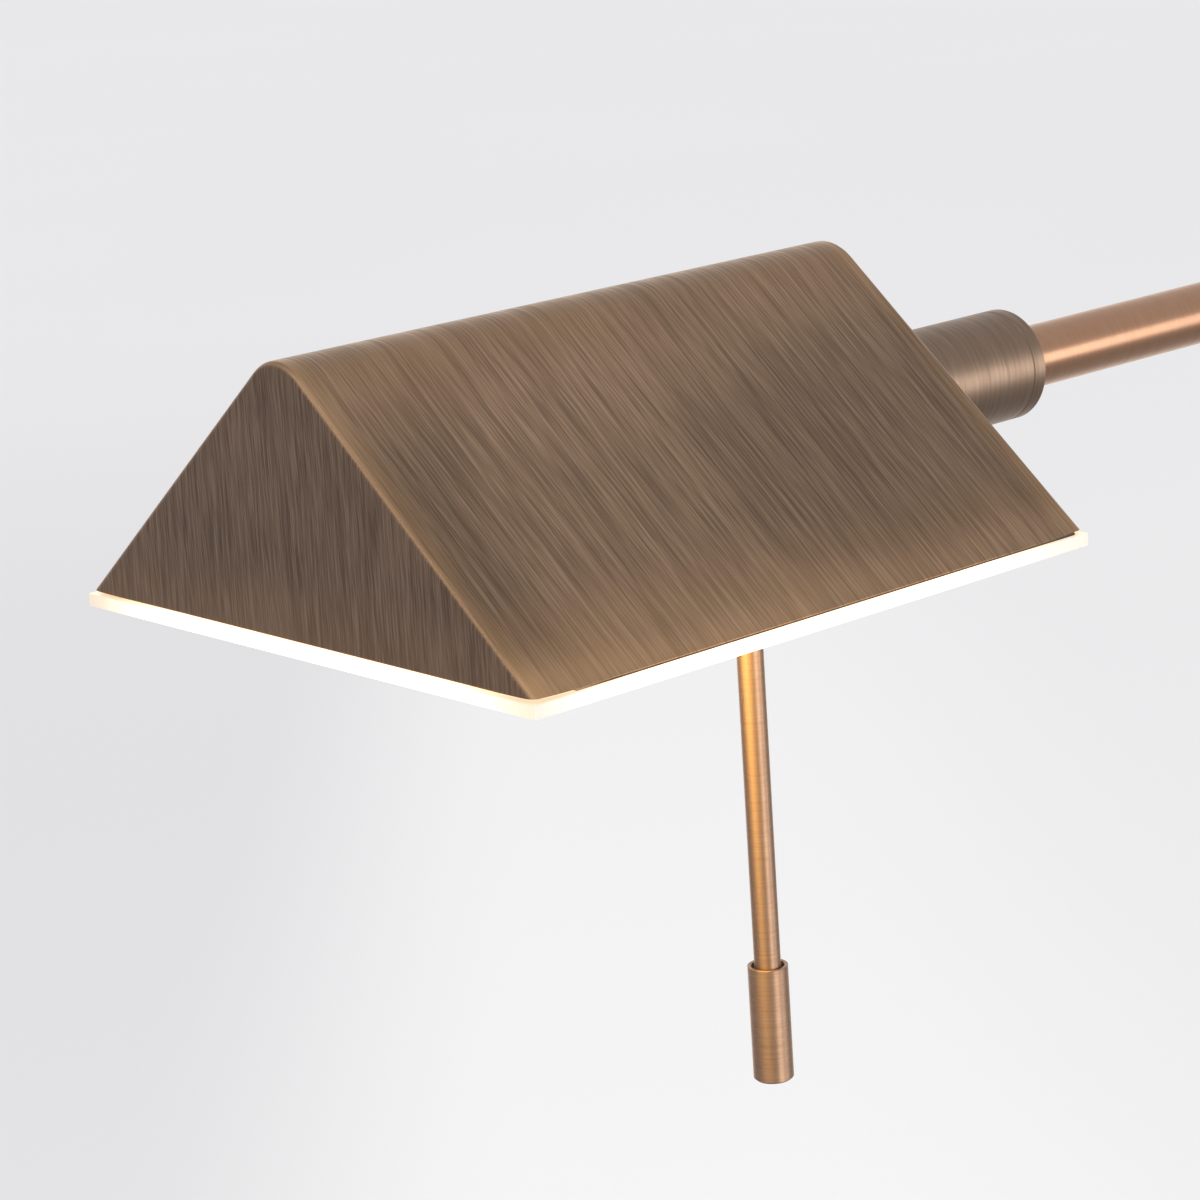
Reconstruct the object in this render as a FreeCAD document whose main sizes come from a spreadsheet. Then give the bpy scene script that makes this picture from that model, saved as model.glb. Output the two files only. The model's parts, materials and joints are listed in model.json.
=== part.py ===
import FreeCAD, Part
import math
import os
import Sketcher

# A wall-mounted picture light: a folded-roof head with an opal diffuser and a handle, carried by a
# swinging arm on a round wall canopy. The wall is the plane Y = 0 and the light stands out along -Y.
# Z is up. The origin is the centre of the wall screws. All lengths are in millimetres.

SIZES = (
    # Head, measured from the plane of its rim.
    ("HeadWidth", 117.1),
    ("HeadLength", 126.5),
    ("ApexHeight", 49.2),
    ("RidgeRadius", 9.4),
    ("ShellWall", 1.5),
    ("EndRound", 1.3),
    ("CornerLift", 0.3),
    ("CornerLiftStart", 6.0),
    ("CornerCutRadius", 12.0),
    ("CornerCutDepth", 3.0),
    ("RimBreak", 0.2),
    ("AxisAboveRim", 15.25),
    # Diffuser and its seal.
    ("DiffuserGap", 0.42),
    ("DiffuserThick", 2.2),
    ("DiffuserOverhang", 0.38),
    ("UpstandTop", 3.0),
    ("UpstandWall", 1.5),
    ("UpstandSideInset", 6.5),
    ("UpstandEndInset", 1.8),
    ("GasketInset", 0.5),
    ("GasketWidth", 0.9),
    ("GasketRearInset", 2.0),
    ("GasketFrontInset", 9.0),
    # Light engine.
    ("CarrierBottom", 6.0),
    ("CarrierThick", 2.0),
    ("CarrierHalfWidth", 45.6),
    ("CarrierRearGap", 12.0),
    ("CarrierFrontGap", 4.0),
    ("BlockInner", 36.0),
    ("BlockLength", 12.0),
    ("CarrierScrewSide", 41.0),
    ("CarrierScrewEnd", 9.0),
    ("ScrewShank", 1.5),
    ("ScrewHead", 2.8),
    ("ScrewHeadHeight", 1.7),
    ("SocketRadius", 1.35),
    ("BoardSide", 24.0),
    ("BoardWidth", 10.0),
    ("BoardLength", 94.0),
    ("BoardThick", 1.0),
    ("BoardRear", 18.0),
    ("ChipSize", 3.0),
    ("ChipHeight", 0.7),
    ("ChipPitch", 11.5),
    ("ConnectorWidth", 12.0),
    ("ConnectorLength", 14.0),
    ("ConnectorHeight", 10.5),
    ("ConnectorFromRear", 42.0),
    ("BoardWireBend", 3.0),
    # Handle.
    ("HandleFromRear", 25.4),
    ("RodRadius", 2.5),
    ("RodTop", 12.5),
    ("RodBottom", 99.0),
    ("GripRadius", 3.8),
    ("GripTop", 85.8),
    ("GripBottom", 108.2),
    ("GripRecessRadius", 3.15),
    ("GripRecessDepth", 1.0),
    ("FerruleRadius", 5.0),
    ("FerruleHeight", 4.0),
    ("HandleNutRadius", 5.0),
    ("HandleNutHeight", 3.4),
    # Collar and the roll joint inside it, measured from the rear face of the head.
    ("CollarLength", 46.6),
    ("CollarRadius", 10.6),
    ("CollarBore", 8.5),
    ("CollarFloor", 5.0),
    ("EndRingWidth", 3.8),
    ("StudRadius", 5.0),
    ("StudBore", 3.0),
    ("StudInside", 9.0),
    ("StiffenerRadius", 12.0),
    ("StiffenerThick", 2.0),
    ("StudNutRadius", 8.6),
    ("StudNutHeight", 4.0),
    ("ArmTubeStart", 8.0),
    ("RollBushStart", 10.5),
    ("RollBushEnd", 20.5),
    ("ThrustWasherEnd", 21.5),
    ("SpringEnd", 25.0),
    ("SpringThick", 0.8),
    ("SpringBore", 6.4),
    ("SpringRadius", 8.1),
    ("RollFlangeEnd", 30.0),
    ("RollFlangeRadius", 8.3),
    ("SpigotStart", 31.0),
    ("RunGap", 0.05),
    ("LeadSplit", 6.5),
    ("RollPinRadius", 1.25),
    ("RollPinInner", 4.9),
    ("RollPinOuter", 9.5),
    ("RollGrooveRadius", 9.75),
    ("RollGrooveAngle", 198.0),
    # Arm and swivel, measured from the axis of the wall post.
    ("ArmRadius", 6.0),
    ("ArmBore", 4.5),
    ("ArmReach", 150.0),
    ("PivotReach", 66.0),
    ("ArmRise", 24.0),
    ("KnuckleRadius", 11.0),
    ("KnuckleBore", 8.5),
    ("KnuckleFloor", 3.5),
    ("LowerTop", 11.5),
    ("LowerBottom", -11.4),
    ("SwivelWasherThick", 1.0),
    ("UpperTop", 35.45),
    ("CapThick", 1.6),
    ("CapSpigot", 3.0),
    ("SwivelBushRadius", 6.2),
    ("SwivelWasherRadius", 7.3),
    ("NippleRadius", 5.0),
    ("NippleBore", 3.0),
    ("NippleFlangeRadius", 7.5),
    ("NippleFlangeThick", 2.0),
    ("NippleBottom", 3.7),
    ("NutWasherThick", 0.75),
    ("SwivelNutRadius", 7.4),
    ("SwivelNutHeight", 3.0),
    ("StopPinRadius", 1.0),
    ("StopPinCircle", 9.0),
    ("StopPinBottom", 10.4),
    ("StopPinTop", 15.0),
    ("StopGrooveWidth", 2.3),
    ("StopGrooveDepth", 1.5),
    ("StopGrooveAngle", 193.6),
    ("TubeEndFromPivot", 8.0),
    ("LeadRadius", 1.6),
    ("LeadBend", 7.0),
    ("LeadJoint", 12.0),
    # Wall mount.
    ("PlateRadius", 44.0),
    ("PlateThick", 2.0),
    ("PlateRimDepth", 9.0),
    ("PlateRimWall", 2.0),
    ("WallScrewHalfSpacing", 33.0),
    ("WallScrewHoleRadius", 2.25),
    ("EntryHeight", 9.0),
    ("EntryHoleRadius", 6.0),
    ("GrommetBore", 4.0),
    ("GrommetLip", 7.5),
    ("GrommetLipThick", 1.5),
    ("CanopyRadius", 45.8),
    ("CanopyWall", 1.4),
    ("CanopyDepth", 30.0),
    ("CanopyDish", 11.0),
    ("CanopyRound", 9.0),
    ("CanopyWallGap", 0.5),
    ("CanopyScrewFromWall", 5.0),
    ("RosetteRadius", 12.0),
    ("RosetteThick", 3.5),
    ("BridgeHalfSpan", 20.0),
    ("BridgeFoot", 9.0),
    ("BridgeDepth", 22.0),
    ("BridgeWall", 2.5),
    ("BridgeHalfHeight", 12.0),
    ("RivetSide", 25.0),
    ("RivetRadius", 1.6),
    ("RivetHead", 3.0),
    ("RivetHeadHeight", 1.2),
    ("PostThreadRadius", 5.0),
    ("PostNutRadius", 8.6),
    ("PostNutHeight", 4.0),
    ("PostThreadTail", 1.5),
    ("PostBore", 3.2),
    ("DriverHalfWidth", 18.0),
    ("DriverBottom", -35.0),
    ("DriverTop", -18.0),
    ("DriverDepth", 14.0),
    ("TerminalHalfWidth", 12.0),
    ("TerminalBottom", 18.0),
    ("TerminalTop", 32.0),
    ("TerminalDepth", 12.0),
    ("SupplyWireRadius", 1.0),
    ("SupplyWireSide", 8.0),
    ("SupplyWireFromWall", 8.5),
    ("LeadStartFromWall", 6.5),
    ("LeadWallBend", 8.0),
    ("EdgeBreak", 0.4),
    ("FineBreak", 0.2),
    ("WideBreak", 0.8),
    # For cuts: a hole that something passes through with room, and a cut longer than any sub-part.
    ("PassGap", 0.2),
    ("HollowBelow", 2.0),
    ("RightThrough", 200.0),
)
CHIPS_PER_BOARD = 8

# Lengths closer than NEAR are the same, and a cut that takes less than LEAST_CUT took nothing.
NEAR = 1e-3
LEAST_CUT = 1e-6

X_AXIS = FreeCAD.Vector(1, 0, 0)
Y_AXIS = FreeCAD.Vector(0, 1, 0)
Z_AXIS = FreeCAD.Vector(0, 0, 1)
TOWARDS_ROOM = FreeCAD.Rotation(X_AXIS, 90)

doc = FreeCAD.newDocument("picture_light")
sheet = doc.addObject("Spreadsheet::Sheet", "Sizes")
nodes = []


class Dim:
    """A length made from the sheet's cells: its number, and the expression that gives it."""

    def __init__(self, number, text):
        self.number = float(number)
        self.text = text

    def join(self, other, sign, number):
        other_text = other.text if isinstance(other, Dim) else repr(float(other))
        return Dim(number, "(%s %s %s)" % (self.text, sign, other_text))

    def __add__(self, other):
        return self.join(other, "+", self.number + amount(other))

    def __sub__(self, other):
        return self.join(other, "-", self.number - amount(other))

    def __mul__(self, other):
        return self.join(other, "*", self.number * amount(other))

    def __truediv__(self, other):
        return self.join(other, "/", self.number / amount(other))

    def __neg__(self):
        return Dim(-self.number, "(0 - %s)" % self.text)


def amount(value):
    return value.number if isinstance(value, Dim) else float(value)


def root(value):
    return Dim(math.sqrt(value.number), "sqrt(%s)" % value.text)


def fill_sheet():
    """Write each driving size to the sheet and give its cell the size's name."""
    for row, (name, value) in enumerate(SIZES, start=1):
        sheet.set("A%d" % row, name)
        sheet.set("B%d" % row, str(value))
        sheet.setAlias("B%d" % row, name)
    doc.recompute()


def size(name):
    return Dim(sheet.get(name), "Sizes." + name)


ZERO = Dim(0, "0")


def bind(target, name, value):
    target.setExpression(name, value.text)


def place(target, x=ZERO, y=ZERO, z=ZERO, rotation=None):
    """Put an object at a point given by sheet sizes, turned if a rotation is given."""
    turn = rotation if rotation is not None else FreeCAD.Rotation()
    target.Placement = FreeCAD.Placement(FreeCAD.Vector(x.number, y.number, z.number), turn)
    for name, value in (("x", x), ("y", y), ("z", z)):
        if value is not ZERO:
            bind(target, ".Placement.Base." + name, value)


def as_node(target, label):
    target.Label = label
    nodes.append(target)
    return target


# ---------------------------------------------------------------- sketches and features

def new_body(label):
    body = doc.addObject("PartDesign::Body", label)
    return as_node(body, label)


def new_sketch(body, plane, offset=None):
    """Attach an empty sketch to one of the body's own origin planes, moved along its normal."""
    sketch = body.newObject("Sketcher::SketchObject", body.Label + "_sketch")
    for feature in body.Origin.OriginFeatures:
        if feature.Role == plane:
            sketch.AttachmentSupport = [(feature, "")]
    sketch.MapMode = "FlatFace"
    if offset is not None:
        sketch.AttachmentOffset = FreeCAD.Placement(FreeCAD.Vector(0, 0, offset.number), FreeCAD.Rotation())
        bind(sketch, ".AttachmentOffset.Base.z", offset)
    return sketch


def pin_point(sketch, geometry, point, x, y):
    """Fix a sketch point at sizes from the sketch's origin."""
    for kind, axis, value in (("DistanceX", -2, x), ("DistanceY", -1, y)):
        if abs(value.number) < NEAR:
            sketch.addConstraint(Sketcher.Constraint("PointOnObject", geometry, point, axis))
        elif value.number > 0:
            rule = Sketcher.Constraint(kind, -1, 1, geometry, point, value.number)
            index = sketch.addConstraint(rule)
            bind(sketch, "Constraints[%d]" % index, value)
        else:
            rule = Sketcher.Constraint(kind, geometry, point, -1, 1, -value.number)
            index = sketch.addConstraint(rule)
            bind(sketch, "Constraints[%d]" % index, -value)


def draw_outline(sketch, corners):
    """Draw a closed outline of straight lines through corners given as pairs of sizes."""
    first = sketch.GeometryCount
    count = len(corners)
    for index in range(count):
        start = corners[index]
        end = corners[(index + 1) % count]
        line = Part.LineSegment(
            FreeCAD.Vector(start[0].number, start[1].number, 0),
            FreeCAD.Vector(end[0].number, end[1].number, 0),
        )
        sketch.addGeometry(line, False)
    for index in range(count):
        after = first + (index + 1) % count
        sketch.addConstraint(Sketcher.Constraint("Coincident", first + index, 2, after, 1))
    for index, (x, y) in enumerate(corners):
        pin_point(sketch, first + index, 1, x, y)


def draw_circle(sketch, x, y, radius):
    centre = FreeCAD.Vector(x.number, y.number, 0)
    circle = Part.Circle(centre, Z_AXIS, radius.number)
    geometry = sketch.addGeometry(circle, False)
    pin_point(sketch, geometry, 3, x, y)
    index = sketch.addConstraint(Sketcher.Constraint("Radius", geometry, radius.number))
    bind(sketch, "Constraints[%d]" % index, radius)


def draw_box(sketch, left, right, low, high):
    draw_outline(sketch, [(left, low), (right, low), (right, high), (left, high)])


def broken(corners, picks, amount_off):
    """Cut the picked corners of an outline with square sides by the same amount both ways."""
    result = []
    for index, corner in enumerate(corners):
        if index not in picks:
            result.append(corner)
            continue
        for neighbour in (corners[index - 1], corners[(index + 1) % len(corners)]):
            x, y = corner
            if abs(neighbour[0].number - x.number) > NEAR:
                x = x + amount_off if neighbour[0].number > x.number else x - amount_off
            else:
                y = y + amount_off if neighbour[1].number > y.number else y - amount_off
            result.append((x, y))
    return result


def pad(body, sketch, length, midplane=False, backwards=False):
    feature = body.newObject("PartDesign::Pad", body.Label + "_pad")
    feature.Profile = sketch
    feature.Length = length.number
    bind(feature, "Length", length)
    feature.Midplane = midplane
    feature.Reversed = backwards
    doc.recompute()
    return feature


def pocket(body, sketch, length, midplane=False, along_normal=False):
    """Cut a sketch into the body, and make sure that it took material away."""
    before = body.Shape.Volume
    feature = body.newObject("PartDesign::Pocket", body.Label + "_pocket")
    feature.Profile = sketch
    feature.Length = length.number
    bind(feature, "Length", length)
    feature.Midplane = midplane
    feature.Reversed = along_normal
    doc.recompute()
    if not body.Shape.Volume < before - LEAST_CUT:
        raise RuntimeError("pocket cuts nothing in " + body.Label)
    return feature


def turn(body, sketch, axis, angle=None, cut=False):
    """Revolve a sketch about its own axis, all the way round or by an angle about its plane."""
    before = body.Shape.Volume if cut else 0.0
    kind = "PartDesign::Groove" if cut else "PartDesign::Revolution"
    feature = body.newObject(kind, body.Label + "_turn")
    feature.Profile = sketch
    feature.ReferenceAxis = (sketch, [axis])
    if angle is None:
        feature.Angle = 360
    else:
        feature.Midplane = True
        feature.Angle = angle.number
        bind(feature, "Angle", angle)
    doc.recompute()
    if cut and not body.Shape.Volume < before - LEAST_CUT:
        raise RuntimeError("groove cuts nothing in " + body.Label)
    return feature


def dress(body, kind, value, wanted):
    """Fillet or chamfer the edges of the body's last feature for which wanted(edge) is true."""
    base = body.Tip
    names = ["Edge%d" % (i + 1) for i, edge in enumerate(base.Shape.Edges) if wanted(edge)]
    if not names:
        raise RuntimeError("no edges to dress on " + body.Label)
    feature = body.newObject("PartDesign::" + kind, body.Label + "_" + kind.lower())
    feature.Base = (base, names)
    name = "Radius" if kind == "Fillet" else "Size"
    setattr(feature, name, value.number)
    bind(feature, name, value)
    doc.recompute()
    return feature


def is_circle(edge, radius, along=None, axis=None):
    """True for a circular edge of a radius, and at a place along an axis if one is given."""
    if not isinstance(edge.Curve, Part.Circle) or abs(edge.Curve.Radius - radius) > NEAR:
        return False
    return along is None or abs(getattr(edge.Curve.Center, axis) - along) < NEAR


def turned(label, axis, corners, x=ZERO, y=ZERO, z=ZERO):
    """A round piece from an outline of (along, radius) corners, about a local Y or Z axis."""
    body = new_body(label)
    if axis == "Y":
        sketch = new_sketch(body, "YZ_Plane")
        draw_outline(sketch, corners)
        turn(body, sketch, "H_Axis")
    else:
        sketch = new_sketch(body, "XZ_Plane")
        draw_outline(sketch, [(radius, along) for along, radius in corners])
        turn(body, sketch, "V_Axis")
    place(body, x, y, z)
    return body


def ring(label, axis, start, end, inner, outer, x=ZERO, y=ZERO, z=ZERO, breaks=()):
    corners = [(start, inner), (end, inner), (end, outer), (start, outer)]
    corners = broken(corners, breaks, size("EdgeBreak"))
    return turned(label, axis, corners, x, y, z)


def hex_nut(label, plane, start, height, across, bore, x=ZERO, y=ZERO, z=ZERO):
    """A hexagon nut from its corner radius, on a plane of its own body."""
    body = new_body(label)
    sketch = new_sketch(body, plane, start)
    half_flat = across * (math.sqrt(3) / 2)
    half = across / 2
    corners = [(across, ZERO), (half, half_flat), (-half, half_flat)]
    corners += [(-across, ZERO), (-half, -half_flat), (half, -half_flat)]
    draw_outline(sketch, corners)
    draw_circle(sketch, ZERO, ZERO, bore)
    pad(body, sketch, height)
    place(body, x, y, z)
    return body


# ---------------------------------------------------------------- primitives and booleans

def cylinder(name, radius, length, x=ZERO, y=ZERO, z=ZERO, rotation=None):
    piece = doc.addObject("Part::Cylinder", name)
    piece.Radius = radius.number
    piece.Height = length.number
    bind(piece, "Radius", radius)
    bind(piece, "Height", length)
    place(piece, x, y, z, rotation)
    return piece


def box(name, x, y, z, dx, dy, dz):
    piece = doc.addObject("Part::Box", name)
    for prop, value in (("Length", dx), ("Width", dy), ("Height", dz)):
        setattr(piece, prop, value.number)
        bind(piece, prop, value)
    place(piece, x, y, z)
    return piece


def quarter_bend(name, bend, radius, y, z, start, end):
    """A quarter of a torus in the YZ plane, from the start side of its centre to the end side."""
    piece = doc.addObject("Part::Torus", name)
    piece.Radius1 = bend.number
    piece.Radius2 = radius.number
    piece.Angle3 = 90
    bind(piece, "Radius1", bend)
    bind(piece, "Radius2", radius)
    rotation = FreeCAD.Rotation(start, end, start.cross(end), "XYZ")
    place(piece, ZERO, y, z, rotation)
    return piece


def fuse(label, pieces):
    joined = doc.addObject("Part::MultiFuse", label)
    joined.Shapes = pieces
    joined.Refine = True
    return joined


def cut(label, base, tool):
    result = doc.addObject("Part::Cut", label)
    result.Base = base
    result.Tool = tool
    return result


def group(label, pieces):
    """Separate solids of one kind kept as one node."""
    joined = doc.addObject("Part::Compound", label)
    joined.Links = pieces
    return as_node(joined, label)


fill_sheet()

HALF = size("HeadWidth") / 2
SLANT = root(HALF * HALF + size("ApexHeight") * size("ApexHeight"))
WALL_ACROSS = size("ShellWall") * SLANT / size("ApexHeight")
WALL_UP = size("ShellWall") * SLANT / HALF
INNER_HALF = HALF - WALL_ACROSS
PIVOT_Y = -size("PivotReach")
REAR_Y = -(size("PivotReach") + size("ArmReach") + size("CollarLength"))
ARM_Z = size("ArmRise")
RIM_Z = size("ArmRise") - size("AxisAboveRim")
CARRIER_TOP = size("CarrierBottom") + size("CarrierThick")
UPPER_BOTTOM = size("LowerTop") + size("SwivelWasherThick") + size("RunGap")
PLATE_FRONT = -size("PlateThick")


# ---------------------------------------------------------------- head: shell

def make_shade_shell():
    """The roof-shaped shell, bent from sheet, with its two ends welded in and dressed smooth."""
    body = doc.addObject("PartDesign::Body", "shell_blank")
    length = size("HeadLength")
    wall = size("ShellWall")
    sketch = new_sketch(body, "XZ_Plane")
    draw_roof(sketch, HALF, ZERO, size("RidgeRadius"))
    pad(body, sketch, length)
    ends = (0.0, -length.number)
    dress(body, "Fillet", size("EndRound"), lambda edge: is_end_outline(edge, ends))
    hollow = new_sketch(body, "XZ_Plane", wall)
    below = size("HollowBelow")
    foot = INNER_HALF + below * HALF / size("ApexHeight")
    draw_roof(hollow, foot, -below, size("RidgeRadius") - wall)
    pocket(body, hollow, length - wall * 2, along_normal=True)
    hole = new_sketch(body, "XZ_Plane")
    draw_circle(hole, ZERO, size("AxisAboveRim"), size("StudRadius"))
    pocket(body, hole, wall * 2, along_normal=True)
    reach = HALF.number
    dress(body, "Chamfer", size("RimBreak"), lambda edge: is_rim(edge, reach, ends))
    place(body, ZERO, REAR_Y, RIM_Z)
    as_node(cut("shade_shell", body, corner_cutters()), "shade_shell")


def corner_cutters():
    """Four thin discs, tilted, that dress the rim so that it rises a little towards each corner."""
    lift = size("CornerLift")
    tilt = math.atan2(lift.number, size("CornerLiftStart").number)
    discs = []
    for name, x, y in (
        ("rear_left", -HALF, REAR_Y),
        ("rear_right", HALF, REAR_Y),
        ("front_left", -HALF, REAR_Y - size("HeadLength")),
        ("front_right", HALF, REAR_Y - size("HeadLength")),
    ):
        outwards = FreeCAD.Vector(math.copysign(1, x.number), 1 if y is REAR_Y else -1, 0).normalize()
        down = outwards * math.sin(tilt) - Z_AXIS * math.cos(tilt)
        turn_down = FreeCAD.Rotation(Z_AXIS, down)
        disc = cylinder("corner_" + name, size("CornerCutRadius"), size("CornerCutDepth"),
                        x, y, RIM_Z + lift, turn_down)
        discs.append(disc)
    cutters = doc.addObject("Part::Compound", "corner_cutters")
    cutters.Links = discs
    return cutters


def draw_roof(sketch, foot, low, radius):
    """A roof section: a flat base, two slopes and a round ridge about the head's ridge centre."""
    centre = size("ApexHeight") - size("RidgeRadius") * SLANT / HALF
    side = radius * size("ApexHeight") / SLANT
    top = centre + radius * HALF / SLANT
    corners = [(-side, top), (-foot, low), (foot, low), (side, top)]
    for start, end in zip(corners, corners[1:]):
        points = [FreeCAD.Vector(x.number, y.number, 0) for x, y in (start, end)]
        sketch.addGeometry(Part.LineSegment(*points), False)
    crown = FreeCAD.Vector(0, (centre + radius).number, 0)
    right = FreeCAD.Vector(side.number, top.number, 0)
    left = FreeCAD.Vector(-side.number, top.number, 0)
    arc = sketch.addGeometry(Part.Arc(right, crown, left), False)
    for index in range(2):
        sketch.addConstraint(Sketcher.Constraint("Coincident", index, 2, index + 1, 1))
    for index, (x, y) in enumerate(corners[:3]):
        pin_point(sketch, index, 1, x, y)
    pin_point(sketch, 2, 2, *corners[3])
    sketch.addConstraint(Sketcher.Constraint("Coincident", arc, 1, 2, 2))
    sketch.addConstraint(Sketcher.Constraint("Coincident", arc, 2, 0, 1))
    index = sketch.addConstraint(Sketcher.Constraint("Radius", arc, radius.number))
    bind(sketch, "Constraints[%d]" % index, radius)


def is_end_outline(edge, ends):
    """True for the slopes and the ridge arc of either end, but not its base line."""
    frame = edge.BoundBox
    flat = frame.YLength < NEAR and min(abs(frame.Center.y - end) for end in ends) < NEAR
    return flat and frame.ZLength > NEAR


def is_rim(edge, half, ends):
    """True for the four long outer edges of the rim."""
    frame = edge.BoundBox
    if frame.ZLength > NEAR or abs(frame.Center.z) > NEAR:
        return False
    on_side = frame.XLength < NEAR and abs(abs(frame.Center.x) - half) < NEAR
    on_end = frame.YLength < NEAR and min(abs(frame.Center.y - end) for end in ends) < NEAR
    return on_side or on_end


def make_stiffener():
    """A disc inside the rear end of the shell that spreads the clamping of the collar's stud."""
    start = -size("ShellWall")
    end = start - size("StiffenerThick")
    ring("rear_stiffener", "Y", end, start, size("StudRadius"), size("StiffenerRadius"), y=REAR_Y, z=ARM_Z)


# ---------------------------------------------------------------- head: diffuser

def make_diffuser():
    """The opal tray: a flat plate under the rim with an upstand that locates it in the shell."""
    body = new_body("diffuser")
    over = size("DiffuserOverhang")
    length = size("HeadLength")
    top = -size("DiffuserGap")
    plate = new_sketch(body, "XY_Plane", top)
    draw_box(plate, -(HALF + over), HALF + over, -(length + over), over)
    pad(body, plate, size("DiffuserThick"), backwards=True)
    upstand = new_sketch(body, "XY_Plane", top)
    side = HALF - size("UpstandSideInset")
    end = size("UpstandEndInset")
    wall = size("UpstandWall")
    draw_box(upstand, -side, side, end - length, -end)
    draw_box(upstand, wall - side, side - wall, end + wall - length, -(end + wall))
    pad(body, upstand, size("UpstandTop") - top)
    hole = new_sketch(body, "XY_Plane", top)
    draw_circle(hole, ZERO, -size("HandleFromRear"), size("RodRadius") + size("PassGap"))
    pocket(body, hole, size("DiffuserThick") * 2)
    place(body, ZERO, REAR_Y, RIM_Z)


def make_gasket():
    """Two thin dark seals between the shell and the diffuser, one under each long side."""
    inset = size("GasketInset")
    width = size("GasketWidth")
    front = size("GasketFrontInset") - size("HeadLength")
    length = -(front + size("GasketRearInset"))
    gap = size("DiffuserGap")
    strips = [
        box("gasket_left", inset - HALF, front, -gap, width, length, gap),
        box("gasket_right", HALF - inset - width, front, -gap, width, length, gap),
    ]
    place(group("diffuser_gasket", strips), ZERO, REAR_Y, RIM_Z)


# ---------------------------------------------------------------- head: light engine

def carrier_screw_places():
    """The four screws: each side, near the rear edge and near the front edge of the carrier."""
    rear = -(size("CarrierRearGap") + size("CarrierScrewEnd"))
    front = size("CarrierFrontGap") + size("CarrierScrewEnd") - size("HeadLength")
    side = size("CarrierScrewSide")
    return [(x, y) for x in (-side, side) for y in (rear, front)]


def make_carrier():
    """The aluminium plate that the light boards and the handle are fixed to."""
    body = new_body("led_carrier")
    sketch = new_sketch(body, "XY_Plane", size("CarrierBottom"))
    half = size("CarrierHalfWidth")
    rear = -size("CarrierRearGap")
    front = size("CarrierFrontGap") - size("HeadLength")
    draw_box(sketch, -half, half, front, rear)
    for x, y in carrier_screw_places():
        draw_circle(sketch, x, y, size("ScrewShank") + size("PassGap"))
    draw_circle(sketch, ZERO, -size("HandleFromRear"), size("RodRadius"))
    for x in (-size("BoardSide"), size("BoardSide")):
        draw_circle(sketch, x, board_wire_y(), size("SupplyWireRadius") + size("PassGap"))
    pad(body, sketch, size("CarrierThick"))
    place(body, ZERO, REAR_Y, RIM_Z)


def board_wire_y():
    return -(size("ConnectorFromRear") + size("ConnectorLength") / 2)


def make_carrier_blocks():
    """Four wedge blocks soldered inside the slopes, drilled for the carrier's screws."""
    inner = size("BlockInner")
    bottom = CARRIER_TOP
    slope = size("ApexHeight") / HALF
    foot = INNER_HALF - bottom / slope
    top = (INNER_HALF - inner) * slope
    half_length = size("BlockLength") / 2
    pieces = []
    for index, (x, y) in enumerate(carrier_screw_places()):
        side = 1 if x.number > 0 else -1
        body = doc.addObject("PartDesign::Body", "block_%d" % index)
        sketch = new_sketch(body, "XZ_Plane", half_length - y - size("BlockLength"))
        draw_outline(sketch, [(inner * side, bottom), (foot * side, bottom), (inner * side, top)])
        pad(body, sketch, size("BlockLength"))
        hole = new_sketch(body, "XY_Plane", bottom)
        draw_circle(hole, x, y, size("ScrewShank"))
        pocket(body, hole, top - bottom, along_normal=True)
        pieces.append(body)
    blocks = group("carrier_blocks", pieces)
    place(blocks, ZERO, REAR_Y, RIM_Z)


def make_carrier_screws():
    """Pan-head screws driven up through the carrier into the blocks, each with a hexagon socket."""
    pieces = []
    head = size("ScrewHeadHeight")
    bottom = size("CarrierBottom") - head
    for index, (x, y) in enumerate(carrier_screw_places()):
        name = "carrier_screw_%d" % index
        cap = cylinder(name + "_head", size("ScrewHead"), head, x, y, bottom)
        shank = cylinder(name + "_shank", size("ScrewShank"), size("CarrierThick") + head * 2, x, y, bottom)
        socket = doc.addObject("Part::Prism", name + "_socket")
        socket.Polygon = 6
        socket.Circumradius = size("SocketRadius").number
        socket.Height = (head / 2).number
        bind(socket, "Circumradius", size("SocketRadius"))
        bind(socket, "Height", head / 2)
        place(socket, x, y, bottom)
        pieces.append(cut(name, fuse(name + "_solid", [cap, shank]), socket))
    screws = group("carrier_screws", pieces)
    place(screws, ZERO, REAR_Y, RIM_Z)


def board_sides():
    return [size("BoardSide") * side for side in (-1, 1)]


def make_boards():
    """The two light boards under the carrier."""
    thick = size("BoardThick")
    front = -(size("BoardRear") + size("BoardLength"))
    pieces = []
    for index, side in enumerate(board_sides()):
        left = side - size("BoardWidth") / 2
        low = size("CarrierBottom") - thick
        name = "board_%d" % index
        pieces.append(box(name, left, front, low, size("BoardWidth"), size("BoardLength"), thick))
    boards = group("led_boards", pieces)
    place(boards, ZERO, REAR_Y, RIM_Z)


def make_chips():
    """The light-emitting chips, evenly spaced along each board."""
    chip = size("ChipSize")
    low = size("CarrierBottom") - size("BoardThick") - size("ChipHeight")
    middle = -(size("BoardRear") + size("BoardLength") / 2)
    pieces = []
    for board, side in enumerate(board_sides()):
        for index in range(CHIPS_PER_BOARD):
            along = middle + size("ChipPitch") * (index - (CHIPS_PER_BOARD - 1) / 2)
            name = "chip_%d_%d" % (board, index)
            pieces.append(box(name, side - chip / 2, along - chip / 2, low, chip, chip, size("ChipHeight")))
    chips = group("led_chips", pieces)
    place(chips, ZERO, REAR_Y, RIM_Z)


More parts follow.
